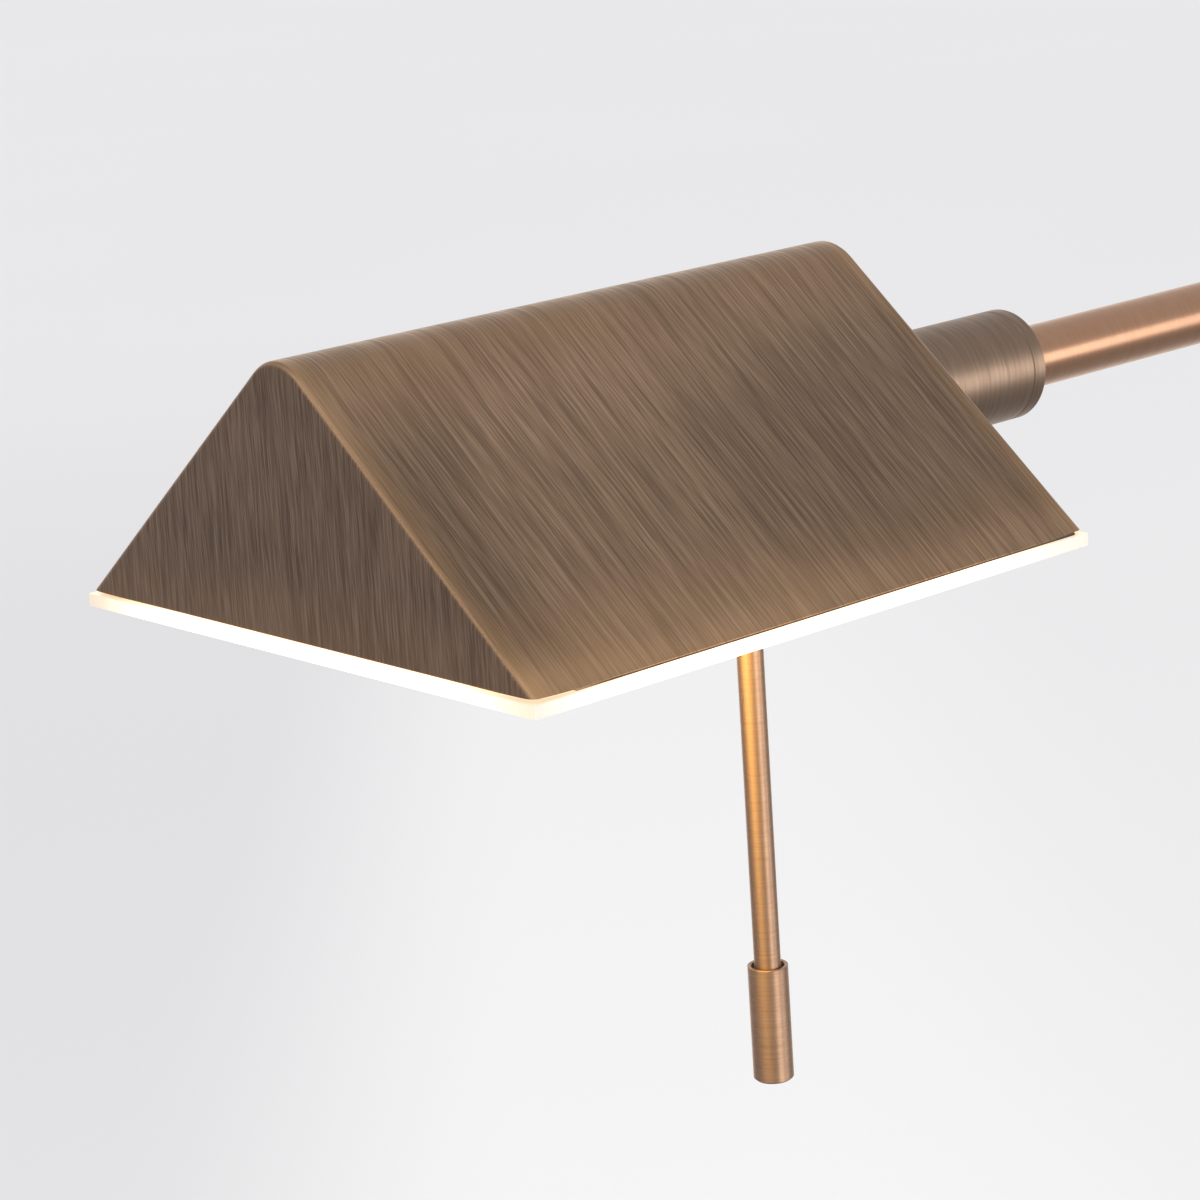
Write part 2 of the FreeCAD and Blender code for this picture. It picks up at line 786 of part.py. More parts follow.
def make_connector():
    """The block on the carrier where the lead ends and the wires to the boards begin."""
    half = size("ConnectorWidth") / 2
    start = -(size("ConnectorFromRear") + size("ConnectorLength"))
    piece = box("lead_connector", -half, REAR_Y + start, RIM_Z + CARRIER_TOP,
                size("ConnectorWidth"), size("ConnectorLength"), size("ConnectorHeight"))
    as_node(piece, "lead_connector")


def make_board_wires():
    """One wire each side: out of the connector, across, and down through the carrier to its board."""
    wire = size("SupplyWireRadius")
    bend = size("BoardWireBend")
    start = size("ConnectorWidth") / 2
    level = CARRIER_TOP + size("ConnectorHeight") / 2
    pieces = []
    for side in (-1, 1):
        name = "board_wire_%s" % ("left" if side < 0 else "right")
        outwards = FreeCAD.Rotation(Y_AXIS, 90 * side)
        across = cylinder(name + "_run", wire, size("BoardSide") - start - bend,
                          start * side, board_wire_y(), level, outwards)
        corner = doc.addObject("Part::Torus", name + "_bend")
        corner.Radius1 = bend.number
        corner.Radius2 = wire.number
        corner.Angle3 = 90
        bind(corner, "Radius1", bend)
        bind(corner, "Radius2", wire)
        sideways = X_AXIS * side
        turn_frame = FreeCAD.Rotation(Z_AXIS, sideways, Z_AXIS.cross(sideways), "XYZ")
        place(corner, (size("BoardSide") - bend) * side, board_wire_y(), level - bend, turn_frame)
        drop = cylinder(name + "_drop", wire, level - bend - size("CarrierBottom"),
                        size("BoardSide") * side, board_wire_y(), size("CarrierBottom"))
        pieces.append(fuse(name, [across, corner, drop]))
    wires = group("board_wires", pieces)
    place(wires, ZERO, REAR_Y, RIM_Z)


# ---------------------------------------------------------------- head: handle

def make_handle():
    """The rod that the head is turned by, its nut, its ferrule under the diffuser and its grip."""
    y = REAR_Y - size("HandleFromRear")
    rod = size("RodRadius")
    grip = size("GripRadius")
    top = size("RodTop")
    bottom = -size("RodBottom")
    corners = [(bottom, ZERO), (top, ZERO), (top, rod), (bottom, rod)]
    turned("handle_rod", "Z", broken(corners, (2,), size("EdgeBreak")), y=y, z=RIM_Z)
    hex_nut("handle_nut", "XY_Plane", CARRIER_TOP, size("HandleNutHeight"), size("HandleNutRadius"),
            rod, y=y, z=RIM_Z)
    under = -(size("DiffuserGap") + size("DiffuserThick"))
    ring("handle_ferrule", "Z", under - size("FerruleHeight"), under, rod, size("FerruleRadius"),
         y=y, z=RIM_Z, breaks=(3,))
    floor = -(size("GripTop") + size("GripRecessDepth"))
    recess = size("GripRecessRadius")
    corners = [(-size("GripBottom"), ZERO), (bottom, ZERO), (bottom, rod)]
    corners += [(floor, rod), (floor, recess), (-size("GripTop"), recess)]
    corners += [(-size("GripTop"), grip), (-size("GripBottom"), grip)]
    turned("handle_grip", "Z", broken(corners, (7,), size("EdgeBreak")), y=y, z=RIM_Z)


# ---------------------------------------------------------------- collar and roll joint

def make_collar():
    """The turned sleeve behind the head, with a groove inside it for the roll stop."""
    end = size("CollarLength") - size("EndRingWidth")
    floor = size("CollarFloor")
    corners = [(ZERO, size("StudRadius")), (floor, size("StudRadius")), (floor, size("CollarBore"))]
    corners += [(end, size("CollarBore")), (end, size("CollarRadius")), (ZERO, size("CollarRadius"))]
    corners = broken(corners, (4,), size("FineBreak"))
    body = turned("collar", "Y", corners, y=REAR_Y, z=ARM_Z)
    sketch = new_sketch(body, "YZ_Plane")
    middle = (size("SpringEnd") + size("RollFlangeEnd")) / 2
    reach = size("RollPinRadius") + size("RunGap") * 2
    inside = size("CollarBore") - size("PassGap")
    draw_box(sketch, middle - reach, middle + reach, inside, size("RollGrooveRadius"))
    turn(body, sketch, "H_Axis", size("RollGrooveAngle"), cut=True)


def make_end_ring():
    """The collar's end ring, whose long spigot is the outer bearing of the arm tube."""
    inner = size("ArmRadius") + size("RunGap")
    start = size("CollarLength") - size("EndRingWidth")
    corners = [(size("SpigotStart"), inner), (size("CollarLength"), inner)]
    corners += [(size("CollarLength"), size("CollarRadius")), (start, size("CollarRadius"))]
    corners += [(start, size("CollarBore")), (size("SpigotStart"), size("CollarBore"))]
    corners = broken(corners, (3,), size("FineBreak"))
    corners = broken(corners, (2,), size("WideBreak"))
    turned("collar_end_ring", "Y", corners, y=REAR_Y, z=ARM_Z)


def make_roll_joint():
    """The parts inside the collar: bushes and washers, springs, and the flange on the arm tube."""
    arm = size("ArmRadius")
    gap = size("RunGap")
    bore = size("CollarBore")
    ring("roll_bush", "Y", size("RollBushStart"), size("RollBushEnd"), arm + gap, bore, y=REAR_Y, z=ARM_Z)
    ring("roll_thrust_washer", "Y", size("RollBushEnd"), size("ThrustWasherEnd"), arm + gap, bore,
         y=REAR_Y, z=ARM_Z)
    ring("roll_friction_washer", "Y", size("RollFlangeEnd") + gap, size("SpigotStart"), arm + gap, bore,
         y=REAR_Y, z=ARM_Z)
    make_disc_springs()
    flange = ring("roll_flange", "Y", size("SpringEnd"), size("RollFlangeEnd"), arm, size("RollFlangeRadius"),
                  y=REAR_Y, z=ARM_Z)
    middle = (size("SpringEnd") + size("RollFlangeEnd")) / 2
    hole = new_sketch(flange, "XY_Plane")
    draw_circle(hole, ZERO, middle, size("RollPinRadius"))
    pocket(flange, hole, size("CollarRadius"), along_normal=True)
    length = size("RollPinOuter") - size("RollPinInner")
    pin = cylinder("roll_stop_screw", size("RollPinRadius"), length, ZERO, REAR_Y + middle,
                   ARM_Z + size("RollPinInner"))
    as_node(pin, "roll_stop_screw")


def make_disc_springs():
    """Two coned spring washers set edge to edge, which press the flange on its friction washer."""
    thick = size("SpringThick")
    start = size("ThrustWasherEnd") + size("RunGap")
    end = size("SpringEnd")
    middle = (start + end) / 2
    inner = size("SpringBore")
    outer = size("SpringRadius")
    shapes = (
        [(start, inner), (start + thick, inner), (middle, outer), (middle - thick, outer)],
        [(end - thick, inner), (end, inner), (middle + thick, outer), (middle, outer)],
    )
    pieces = []
    for index, corners in enumerate(shapes):
        body = doc.addObject("PartDesign::Body", "disc_spring_%d" % index)
        sketch = new_sketch(body, "YZ_Plane")
        draw_outline(sketch, corners)
        turn(body, sketch, "H_Axis")
        pieces.append(body)
    springs = group("disc_springs", pieces)
    place(springs, ZERO, REAR_Y, ARM_Z)


def make_collar_stud():
    """The hollow stud that ties the collar to the shell, and its nut inside the head."""
    ring("collar_stud", "Y", -size("StudInside"), size("CollarFloor"), size("StudBore"), size("StudRadius"),
         y=REAR_Y, z=ARM_Z)
    start = size("ShellWall") + size("StiffenerThick")
    hex_nut("collar_nut", "XZ_Plane", start, size("StudNutHeight"), size("StudNutRadius"),
            size("StudRadius"), y=REAR_Y, z=ARM_Z)


# ---------------------------------------------------------------- arm

def make_arm_tube():
    """The arm tube, from the upper knuckle to the inner bearing in the collar."""
    start = REAR_Y + size("ArmTubeStart")
    end = PIVOT_Y - size("TubeEndFromPivot")
    body = ring("arm_tube", "Y", start, end, size("ArmBore"), size("ArmRadius"), z=ARM_Z)
    hole = new_sketch(body, "XY_Plane")
    middle = REAR_Y + (size("SpringEnd") + size("RollFlangeEnd")) / 2
    draw_circle(hole, ZERO, middle, size("RollPinRadius"))
    pocket(body, hole, size("CollarRadius"), along_normal=True)


def make_knuckle(label, bottom, top, floor_at_top, side_hole_z, towards_room):
    """One hollow drum of the swivel, open at its outer end, with a side hole for its tube."""
    outer = size("KnuckleRadius")
    bore = size("KnuckleBore")
    floor = size("KnuckleFloor")
    middle = size("SwivelBushRadius") if floor_at_top else size("NippleRadius")
    if floor_at_top:
        inside = top - floor
        corners = [(bottom, bore), (inside, bore), (inside, middle), (top, middle)]
        breaks = (4,)
    else:
        inside = bottom + floor
        corners = [(bottom, middle), (inside, middle), (inside, bore), (top, bore)]
        breaks = (5,)
    corners += [(top, outer), (bottom, outer)]
    body = turned(label, "Z", broken(corners, breaks, size("EdgeBreak")), y=PIVOT_Y)
    hole = new_sketch(body, "XZ_Plane")
    draw_circle(hole, ZERO, side_hole_z, size("ArmRadius"))
    pocket(body, hole, outer * 2, along_normal=towards_room)
    return body


def make_swivel():
    """The two knuckles, their caps, and the hollow nipple, washers and nut that join them."""
    top = size("LowerTop")
    lower = make_knuckle("lower_knuckle", size("LowerBottom"), top, True, ZERO, False)
    groove = new_sketch(lower, "YZ_Plane")
    circle = size("StopPinCircle")
    half = size("StopGrooveWidth") / 2
    depth = size("StopGrooveDepth")
    draw_box(groove, -(circle + half), half - circle, top - depth, top + depth)
    turn(lower, groove, "V_Axis", size("StopGrooveAngle"), cut=True)
    upper = make_knuckle("upper_knuckle", UPPER_BOTTOM, size("UpperTop"), False, ARM_Z, True)
    hole = new_sketch(upper, "XY_Plane", UPPER_BOTTOM)
    draw_circle(hole, ZERO, -circle, size("StopPinRadius"))
    pocket(upper, hole, size("StopPinTop") - UPPER_BOTTOM, along_normal=True)
    pin = cylinder("swing_stop_pin", size("StopPinRadius"), size("StopPinTop") - size("StopPinBottom"),
                   ZERO, PIVOT_Y - circle, size("StopPinBottom"))
    as_node(pin, "swing_stop_pin")
    make_cap("lower_cap", size("LowerBottom"), -1)
    make_cap("upper_cap", size("UpperTop"), 1)
    make_swivel_fittings()


def make_cap(label, face, direction):
    """A knuckle's end cap: a flat disc with a spigot that screws into the drum."""
    outer = size("KnuckleRadius")
    spigot = size("KnuckleBore")
    outside = face + size("CapThick") * direction
    inside = face - size("CapSpigot") * direction
    corners = [(inside, ZERO), (outside, ZERO), (outside, outer)]
    corners += [(face, outer), (face, spigot), (inside, spigot)]
    turned(label, "Z", broken(corners, (2,), size("WideBreak")), y=PIVOT_Y)


def make_swivel_fittings():
    top = size("LowerTop")
    gap = size("RunGap")
    nipple = size("NippleRadius")
    floor_under = top - size("KnuckleFloor")
    washer_top = floor_under - gap
    washer_bottom = washer_top - size("NutWasherThick")
    ring("swivel_bush", "Z", floor_under, top, nipple + gap, size("SwivelBushRadius"), y=PIVOT_Y)
    ring("swivel_washer", "Z", top, top + size("SwivelWasherThick"), nipple + gap,
         size("SwivelWasherRadius"), y=PIVOT_Y)
    ring("nut_washer", "Z", washer_bottom, washer_top, nipple, size("SwivelNutRadius"), y=PIVOT_Y)
    hex_nut("swivel_nut", "XY_Plane", washer_bottom - size("SwivelNutHeight"), size("SwivelNutHeight"),
            size("SwivelNutRadius"), nipple, y=PIVOT_Y)
    seat = UPPER_BOTTOM + size("KnuckleFloor")
    flange_top = seat + size("NippleFlangeThick")
    bore = size("NippleBore")
    corners = [(size("NippleBottom"), bore), (flange_top, bore), (flange_top, size("NippleFlangeRadius"))]
    corners += [(seat, size("NippleFlangeRadius")), (seat, nipple), (size("NippleBottom"), nipple)]
    turned("swivel_nipple", "Z", corners, y=PIVOT_Y)


# ---------------------------------------------------------------- wall mount

def make_wall_plate():
    """The steel disc that is screwed to the wall."""
    outer = size("PlateRadius")
    corners = [(ZERO, ZERO), (ZERO, outer), (PLATE_FRONT, outer), (PLATE_FRONT, ZERO)]
    body = turned("wall_plate", "Y", corners)
    sketch = new_sketch(body, "XZ_Plane")
    half = size("WallScrewHalfSpacing")
    for x in (-half, half):
        draw_circle(sketch, x, ZERO, size("WallScrewHoleRadius"))
    for x in (-size("RivetSide"), size("RivetSide")):
        draw_circle(sketch, x, ZERO, size("RivetRadius"))
    draw_circle(sketch, ZERO, size("EntryHeight"), size("EntryHoleRadius"))
    pocket(body, sketch, size("PlateThick") * 2, along_normal=True)


def make_plate_rim():
    """The steel band welded on the front of the plate, which takes the canopy's screws."""
    outer = size("PlateRadius")
    inner = outer - size("PlateRimWall")
    body = ring("plate_rim", "Y", -size("PlateRimDepth"), PLATE_FRONT, inner, outer)
    pierce_for_screws(body)


def pierce_for_screws(body):
    """Cut the holes of the two canopy screws, at the top and the bottom of a band."""
    side = new_sketch(body, "XY_Plane")
    draw_circle(side, ZERO, -size("CanopyScrewFromWall"), size("ScrewShank"))
    pocket(body, side, size("RightThrough"), midplane=True)


def make_grommet():
    """The rubber grommet that lines the cable entry."""
    lip = size("GrommetLipThick")
    hole = size("EntryHoleRadius")
    front = PLATE_FRONT - lip
    corners = [(ZERO, size("GrommetBore")), (ZERO, hole), (PLATE_FRONT, hole)]
    corners += [(PLATE_FRONT, size("GrommetLip")), (front, size("GrommetLip")), (front, size("GrommetBore"))]
    turned("entry_grommet", "Y", corners, z=size("EntryHeight"))


def make_canopy():
    """The dished front of the round cover, spun from sheet, with a hole for the post."""
    outer = size("CanopyRadius")
    wall = size("CanopyWall")
    front = -size("CanopyDepth")
    back = front + size("CanopyDish")
    hole = size("ArmRadius")
    corners = [(back, outer - wall), (front + wall, outer - wall), (front + wall, hole)]
    corners += [(front, hole), (front, outer), (back, outer)]
    body = turned("canopy", "Y", corners)
    dress(body, "Fillet", size("CanopyRound"), lambda edge: is_circle(edge, outer.number, front.number, "y"))
    inside_corner = (front + wall).number
    inner = (outer - wall).number
    dress(body, "Fillet", size("CanopyRound") - wall, lambda edge: is_circle(edge, inner, inside_corner, "y"))


def make_canopy_skirt():
    """The straight side of the cover, a band that meets the dished front edge to edge."""
    outer = size("CanopyRadius")
    front = size("CanopyDish") - size("CanopyDepth")
    body = ring("canopy_skirt", "Y", front, -size("CanopyWallGap"), outer - size("CanopyWall"), outer)
    pierce_for_screws(body)


def make_canopy_screws():
    """Two small screws, above and below, that hold the canopy on the plate's rim."""
    pieces = []
    radius = size("CanopyRadius")
    depth = radius - size("PlateRadius") + size("PlateRimWall") * 2
    y = -size("CanopyScrewFromWall")
    for side in (-1, 1):
        name = "canopy_screw_%s" % ("bottom" if side < 0 else "top")
        rotation = FreeCAD.Rotation(X_AXIS, 0 if side > 0 else 180)
        shank = cylinder(name + "_shank", size("ScrewShank"), depth,
                         ZERO, y, (radius - depth) * side, rotation)
        head = cylinder(name + "_head", size("ScrewHead"), size("ScrewHeadHeight"),
                        ZERO, y, radius * side, rotation)
        pieces.append(fuse(name, [shank, head]))
    group("canopy_screws", pieces)


def make_bridge():
    """The bracket riveted across the plate that carries the post."""
    body = new_body("bridge_bracket")
    span = size("BridgeHalfSpan")
    foot = span + size("BridgeFoot")
    wall = size("BridgeWall")
    front = -size("BridgeDepth")
    shelf = PLATE_FRONT - wall
    right = [(foot, PLATE_FRONT), (foot, shelf), (span, shelf), (span, front)]
    left = [(-x, y) for x, y in reversed(right)]
    inner_left = [(wall - span, front + wall), (span - wall, front + wall)]
    sketch = new_sketch(body, "XY_Plane")
    outline = [(-foot, PLATE_FRONT), (wall - span, PLATE_FRONT)] + inner_left
    outline += [(span - wall, PLATE_FRONT)] + right + left[:-1]
    draw_outline(sketch, outline)
    pad(body, sketch, size("BridgeHalfHeight") * 2, midplane=True)
    hole = new_sketch(body, "XZ_Plane", size("BridgeDepth"))
    draw_circle(hole, ZERO, ZERO, size("PostThreadRadius"))
    pocket(body, hole, wall * 2)
    rivets = new_sketch(body, "XZ_Plane")
    for x in (-size("RivetSide"), size("RivetSide")):
        draw_circle(rivets, x, ZERO, size("RivetRadius"))
    pocket(body, rivets, wall * 3, along_normal=True)


def make_rivets():
    """The two rivets that fix the bridge to the plate, flush at the wall side."""
    pieces = []
    length = size("PlateThick") + size("BridgeWall")
    for index, side in enumerate((-1, 1)):
        x = size("RivetSide") * side
        name = "rivet_%d" % index
        shank = cylinder(name + "_shank", size("RivetRadius"), length, x, ZERO, ZERO, TOWARDS_ROOM)
        head = cylinder(name + "_head", size("RivetHead"), size("RivetHeadHeight"),
                        x, -length, ZERO, TOWARDS_ROOM)
        pieces.append(fuse(name, [shank, head]))
    group("bridge_rivets", pieces)


def make_post():
    """The short tube from the bridge to the lower knuckle, its nut and its rosette."""
    bridge = size("BridgeDepth")
    behind = bridge - size("BridgeWall")
    tail = behind - size("PostNutHeight") - size("PostThreadTail")
    bore = size("PostBore")
    thread = size("PostThreadRadius")
    tube = size("ArmRadius")
    end = size("PivotReach") - size("TubeEndFromPivot")
    corners = [(-tail, bore), (-tail, thread), (-bridge, thread)]
    corners += [(-bridge, tube), (-end, tube), (-end, bore)]
    turned("wall_post", "Y", corners)
    hex_nut("post_nut", "XZ_Plane", behind - size("PostNutHeight"), size("PostNutHeight"),
            size("PostNutRadius"), thread)
    canopy = size("CanopyDepth")
    ring("post_rosette", "Y", -(canopy + size("RosetteThick")), -canopy, tube, size("RosetteRadius"),
         breaks=(3,))


def make_gear():
    """The driver, the terminal block and the two wires between them."""
    width = size("DriverHalfWidth") * 2
    height = size("DriverTop") - size("DriverBottom")
    driver = box("led_driver", -size("DriverHalfWidth"), PLATE_FRONT - size("DriverDepth"),
                 size("DriverBottom"), width, size("DriverDepth"), height)
    as_node(driver, "led_driver")
    width = size("TerminalHalfWidth") * 2
    height = size("TerminalTop") - size("TerminalBottom")
    terminal = box("terminal_block", -size("TerminalHalfWidth"), PLATE_FRONT - size("TerminalDepth"),
                   size("TerminalBottom"), width, size("TerminalDepth"), height)
    as_node(terminal, "terminal_block")
    run = size("TerminalBottom") - size("DriverTop")
    pieces = []
    for index, side in enumerate((-1, 1)):
        x = size("SupplyWireSide") * side
        name = "supply_wire_%d" % index
        y = -size("SupplyWireFromWall")
        pieces.append(cylinder(name, size("SupplyWireRadius"), run, x, y, size("DriverTop")))
    group("supply_wires", pieces)


# ---------------------------------------------------------------- lead

def make_leads():
    """The lead from the driver to the head, in three lengths that meet on the two joint axes."""
    wire = size("LeadRadius")
    bend = size("LeadBend")
    wall_bend = size("LeadWallBend")
    start_y = -size("LeadStartFromWall")
    corner_y = start_y - wall_bend
    turn_y = PIVOT_Y + bend
    rise = cylinder("lead_rise", wire, -wall_bend - size("DriverTop"), ZERO, start_y, size("DriverTop"))
    first = quarter_bend("lead_first_bend", wall_bend, wire, corner_y, -wall_bend, Y_AXIS, Z_AXIS)
    post = cylinder("lead_in_post", wire, corner_y - turn_y, ZERO, corner_y, ZERO, TOWARDS_ROOM)
    second = quarter_bend("lead_second_bend", bend, wire, turn_y, bend, -Z_AXIS, -Y_AXIS)
    up = cylinder("lead_up", wire, size("LeadJoint") - bend, ZERO, PIVOT_Y, bend)
    as_node(fuse("wall_lead", [rise, first, post, second, up]), "wall_lead")
    level = ARM_Z - bend
    lift = cylinder("lead_lift", wire, level - size("LeadJoint"), ZERO, PIVOT_Y, size("LeadJoint"))
    third = quarter_bend("lead_third_bend", bend, wire, PIVOT_Y - bend, level, Y_AXIS, Z_AXIS)
    split = REAR_Y + size("LeadSplit")
    run = cylinder("lead_in_arm", wire, PIVOT_Y - bend - split, ZERO, PIVOT_Y - bend, ARM_Z, TOWARDS_ROOM)
    as_node(fuse("arm_lead", [lift, third, run]), "arm_lead")
    length = size("LeadSplit") + size("ConnectorFromRear")
    head = cylinder("head_lead", wire, length, ZERO, split, ARM_Z, TOWARDS_ROOM)
    as_node(head, "head_lead")


def check_document():
    """Stop if any object failed, or any node's shape is empty or not valid."""
    for item in doc.Objects:
        if "Invalid" in item.State or "Error" in item.State:
            raise RuntimeError("%s is in state %s" % (item.Label, item.State))
    for node in nodes:
        shape = node.Shape
        if shape.isNull() or not shape.isValid() or not shape.Solids:
            raise RuntimeError("%s has no valid solid" % node.Label)


def main():
    make_shade_shell()
    make_stiffener()
    make_diffuser()
    make_gasket()
    make_carrier()
    make_carrier_blocks()
    make_carrier_screws()
    make_boards()
    make_chips()
    make_connector()
    make_board_wires()
    make_handle()
    make_collar()
    make_end_ring()
    make_roll_joint()
    make_collar_stud()
    make_arm_tube()
    make_swivel()
    make_wall_plate()
    make_plate_rim()
    make_grommet()
    make_canopy()
    make_canopy_skirt()
    make_canopy_screws()
    make_bridge()
    make_rivets()
    make_post()
    make_gear()
    make_leads()
    doc.recompute()
    check_document()
    os.makedirs("parts", exist_ok=True)
    for node in nodes:
        node.Shape.exportStep("parts/%s.step" % node.Label)
        print("%-22s %9.1f mm3, solids %d" % (node.Label, node.Shape.Volume, len(node.Shape.Solids)))


main()
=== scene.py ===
import json
import math

import bpy
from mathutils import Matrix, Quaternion, Vector


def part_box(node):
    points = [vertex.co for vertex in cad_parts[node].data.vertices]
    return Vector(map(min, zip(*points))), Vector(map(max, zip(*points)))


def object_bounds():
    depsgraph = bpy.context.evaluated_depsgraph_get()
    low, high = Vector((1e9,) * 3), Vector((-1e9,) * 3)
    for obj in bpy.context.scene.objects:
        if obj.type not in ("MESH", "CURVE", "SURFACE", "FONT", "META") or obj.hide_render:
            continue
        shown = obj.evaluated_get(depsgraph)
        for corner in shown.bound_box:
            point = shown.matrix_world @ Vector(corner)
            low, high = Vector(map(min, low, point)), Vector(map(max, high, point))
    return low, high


# Looks for the wall-mounted picture light. Lengths are in metres and the frame is the CAD model's own:
# the wall is the plane Y = 0, the light stands out along -Y, and Z is up.

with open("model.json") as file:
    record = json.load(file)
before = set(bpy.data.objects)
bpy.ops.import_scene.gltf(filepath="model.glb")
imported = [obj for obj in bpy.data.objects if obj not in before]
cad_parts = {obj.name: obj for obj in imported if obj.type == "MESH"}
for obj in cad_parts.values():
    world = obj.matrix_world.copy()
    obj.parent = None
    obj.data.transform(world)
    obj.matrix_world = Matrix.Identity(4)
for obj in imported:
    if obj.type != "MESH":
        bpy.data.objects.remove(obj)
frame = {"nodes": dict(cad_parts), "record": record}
cad_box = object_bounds()

SHELL_LOW, SHELL_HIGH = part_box("shade_shell")
COLLAR_LOW, COLLAR_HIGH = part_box("collar")
PIVOT_LOW, PIVOT_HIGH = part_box("lower_knuckle")
ROD_LOW, ROD_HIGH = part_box("handle_rod")
CANOPY_LOW, CANOPY_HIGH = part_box("canopy")
DIFFUSER_LOW, DIFFUSER_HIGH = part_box("diffuser")
BOARDS_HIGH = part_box("led_boards")[1]
SEAL_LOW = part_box("diffuser_gasket")[0]

Y_AXIS = Vector((0, 1, 0))
Z_AXIS = Vector((0, 0, 1))


def middle(low, high):
    return (low + high) / 2


HEAD_CENTRE = middle(SHELL_LOW, SHELL_HIGH)
PIVOT_AXIS = middle(PIVOT_LOW, PIVOT_HIGH)
ROD_AXIS = middle(ROD_LOW, ROD_HIGH)
ARM_AXIS = middle(COLLAR_LOW, COLLAR_HIGH)
CANOPY_AXIS = middle(CANOPY_LOW, CANOPY_HIGH)
BOARD_HALF_WIDTH = 0.005
ROW_PLACE = BOARDS_HIGH.x - BOARD_HALF_WIDTH


# ---------------------------------------------------------------- camera

VIEW_AZIMUTH = 48.74
VIEW_ELEVATION = 14.65
VIEW_ROLL = -3.845
VIEW_DISTANCE = 0.6284
AIM_SIDE = 0.00055
VIEW_LENS = 108.35
VIEW_SENSOR = 36.0
AIM_FROM_REAR = 0.0612
AIM_BELOW_RIM = 0.0074
CLIP_NEAR = 0.01
CLIP_FAR = 200


def make_camera():
    """A long lens aimed at a point on the head's middle plane, a little below the rim."""
    azimuth = math.radians(VIEW_AZIMUTH)
    elevation = math.radians(VIEW_ELEVATION)
    forward = Vector((
        -math.cos(elevation) * math.sin(azimuth),
        math.cos(elevation) * math.cos(azimuth),
        -math.sin(elevation),
    ))
    aim = Vector((AIM_SIDE, SHELL_HIGH.y - AIM_FROM_REAR, SHELL_LOW.z - AIM_BELOW_RIM))
    data = bpy.data.cameras.new("camera")
    data.lens = VIEW_LENS
    data.sensor_width = VIEW_SENSOR
    data.clip_start = CLIP_NEAR
    data.clip_end = CLIP_FAR
    camera = bpy.data.objects.new("camera", data)
    bpy.context.scene.collection.objects.link(camera)
    camera.rotation_mode = "QUATERNION"
    level = forward.to_track_quat("-Z", "Y")
    camera.rotation_quaternion = level @ Quaternion(Z_AXIS, math.radians(VIEW_ROLL))
    camera.location = aim - forward * VIEW_DISTANCE
    bpy.context.scene.camera = camera


# ---------------------------------------------------------------- node graph helper

# Places of the two values and the result among the sockets of a Mix node.
MIX_COLOURS = (6, 7)
MIX_COLOUR_RESULT = 2
MIX_FLOATS = (2, 3)


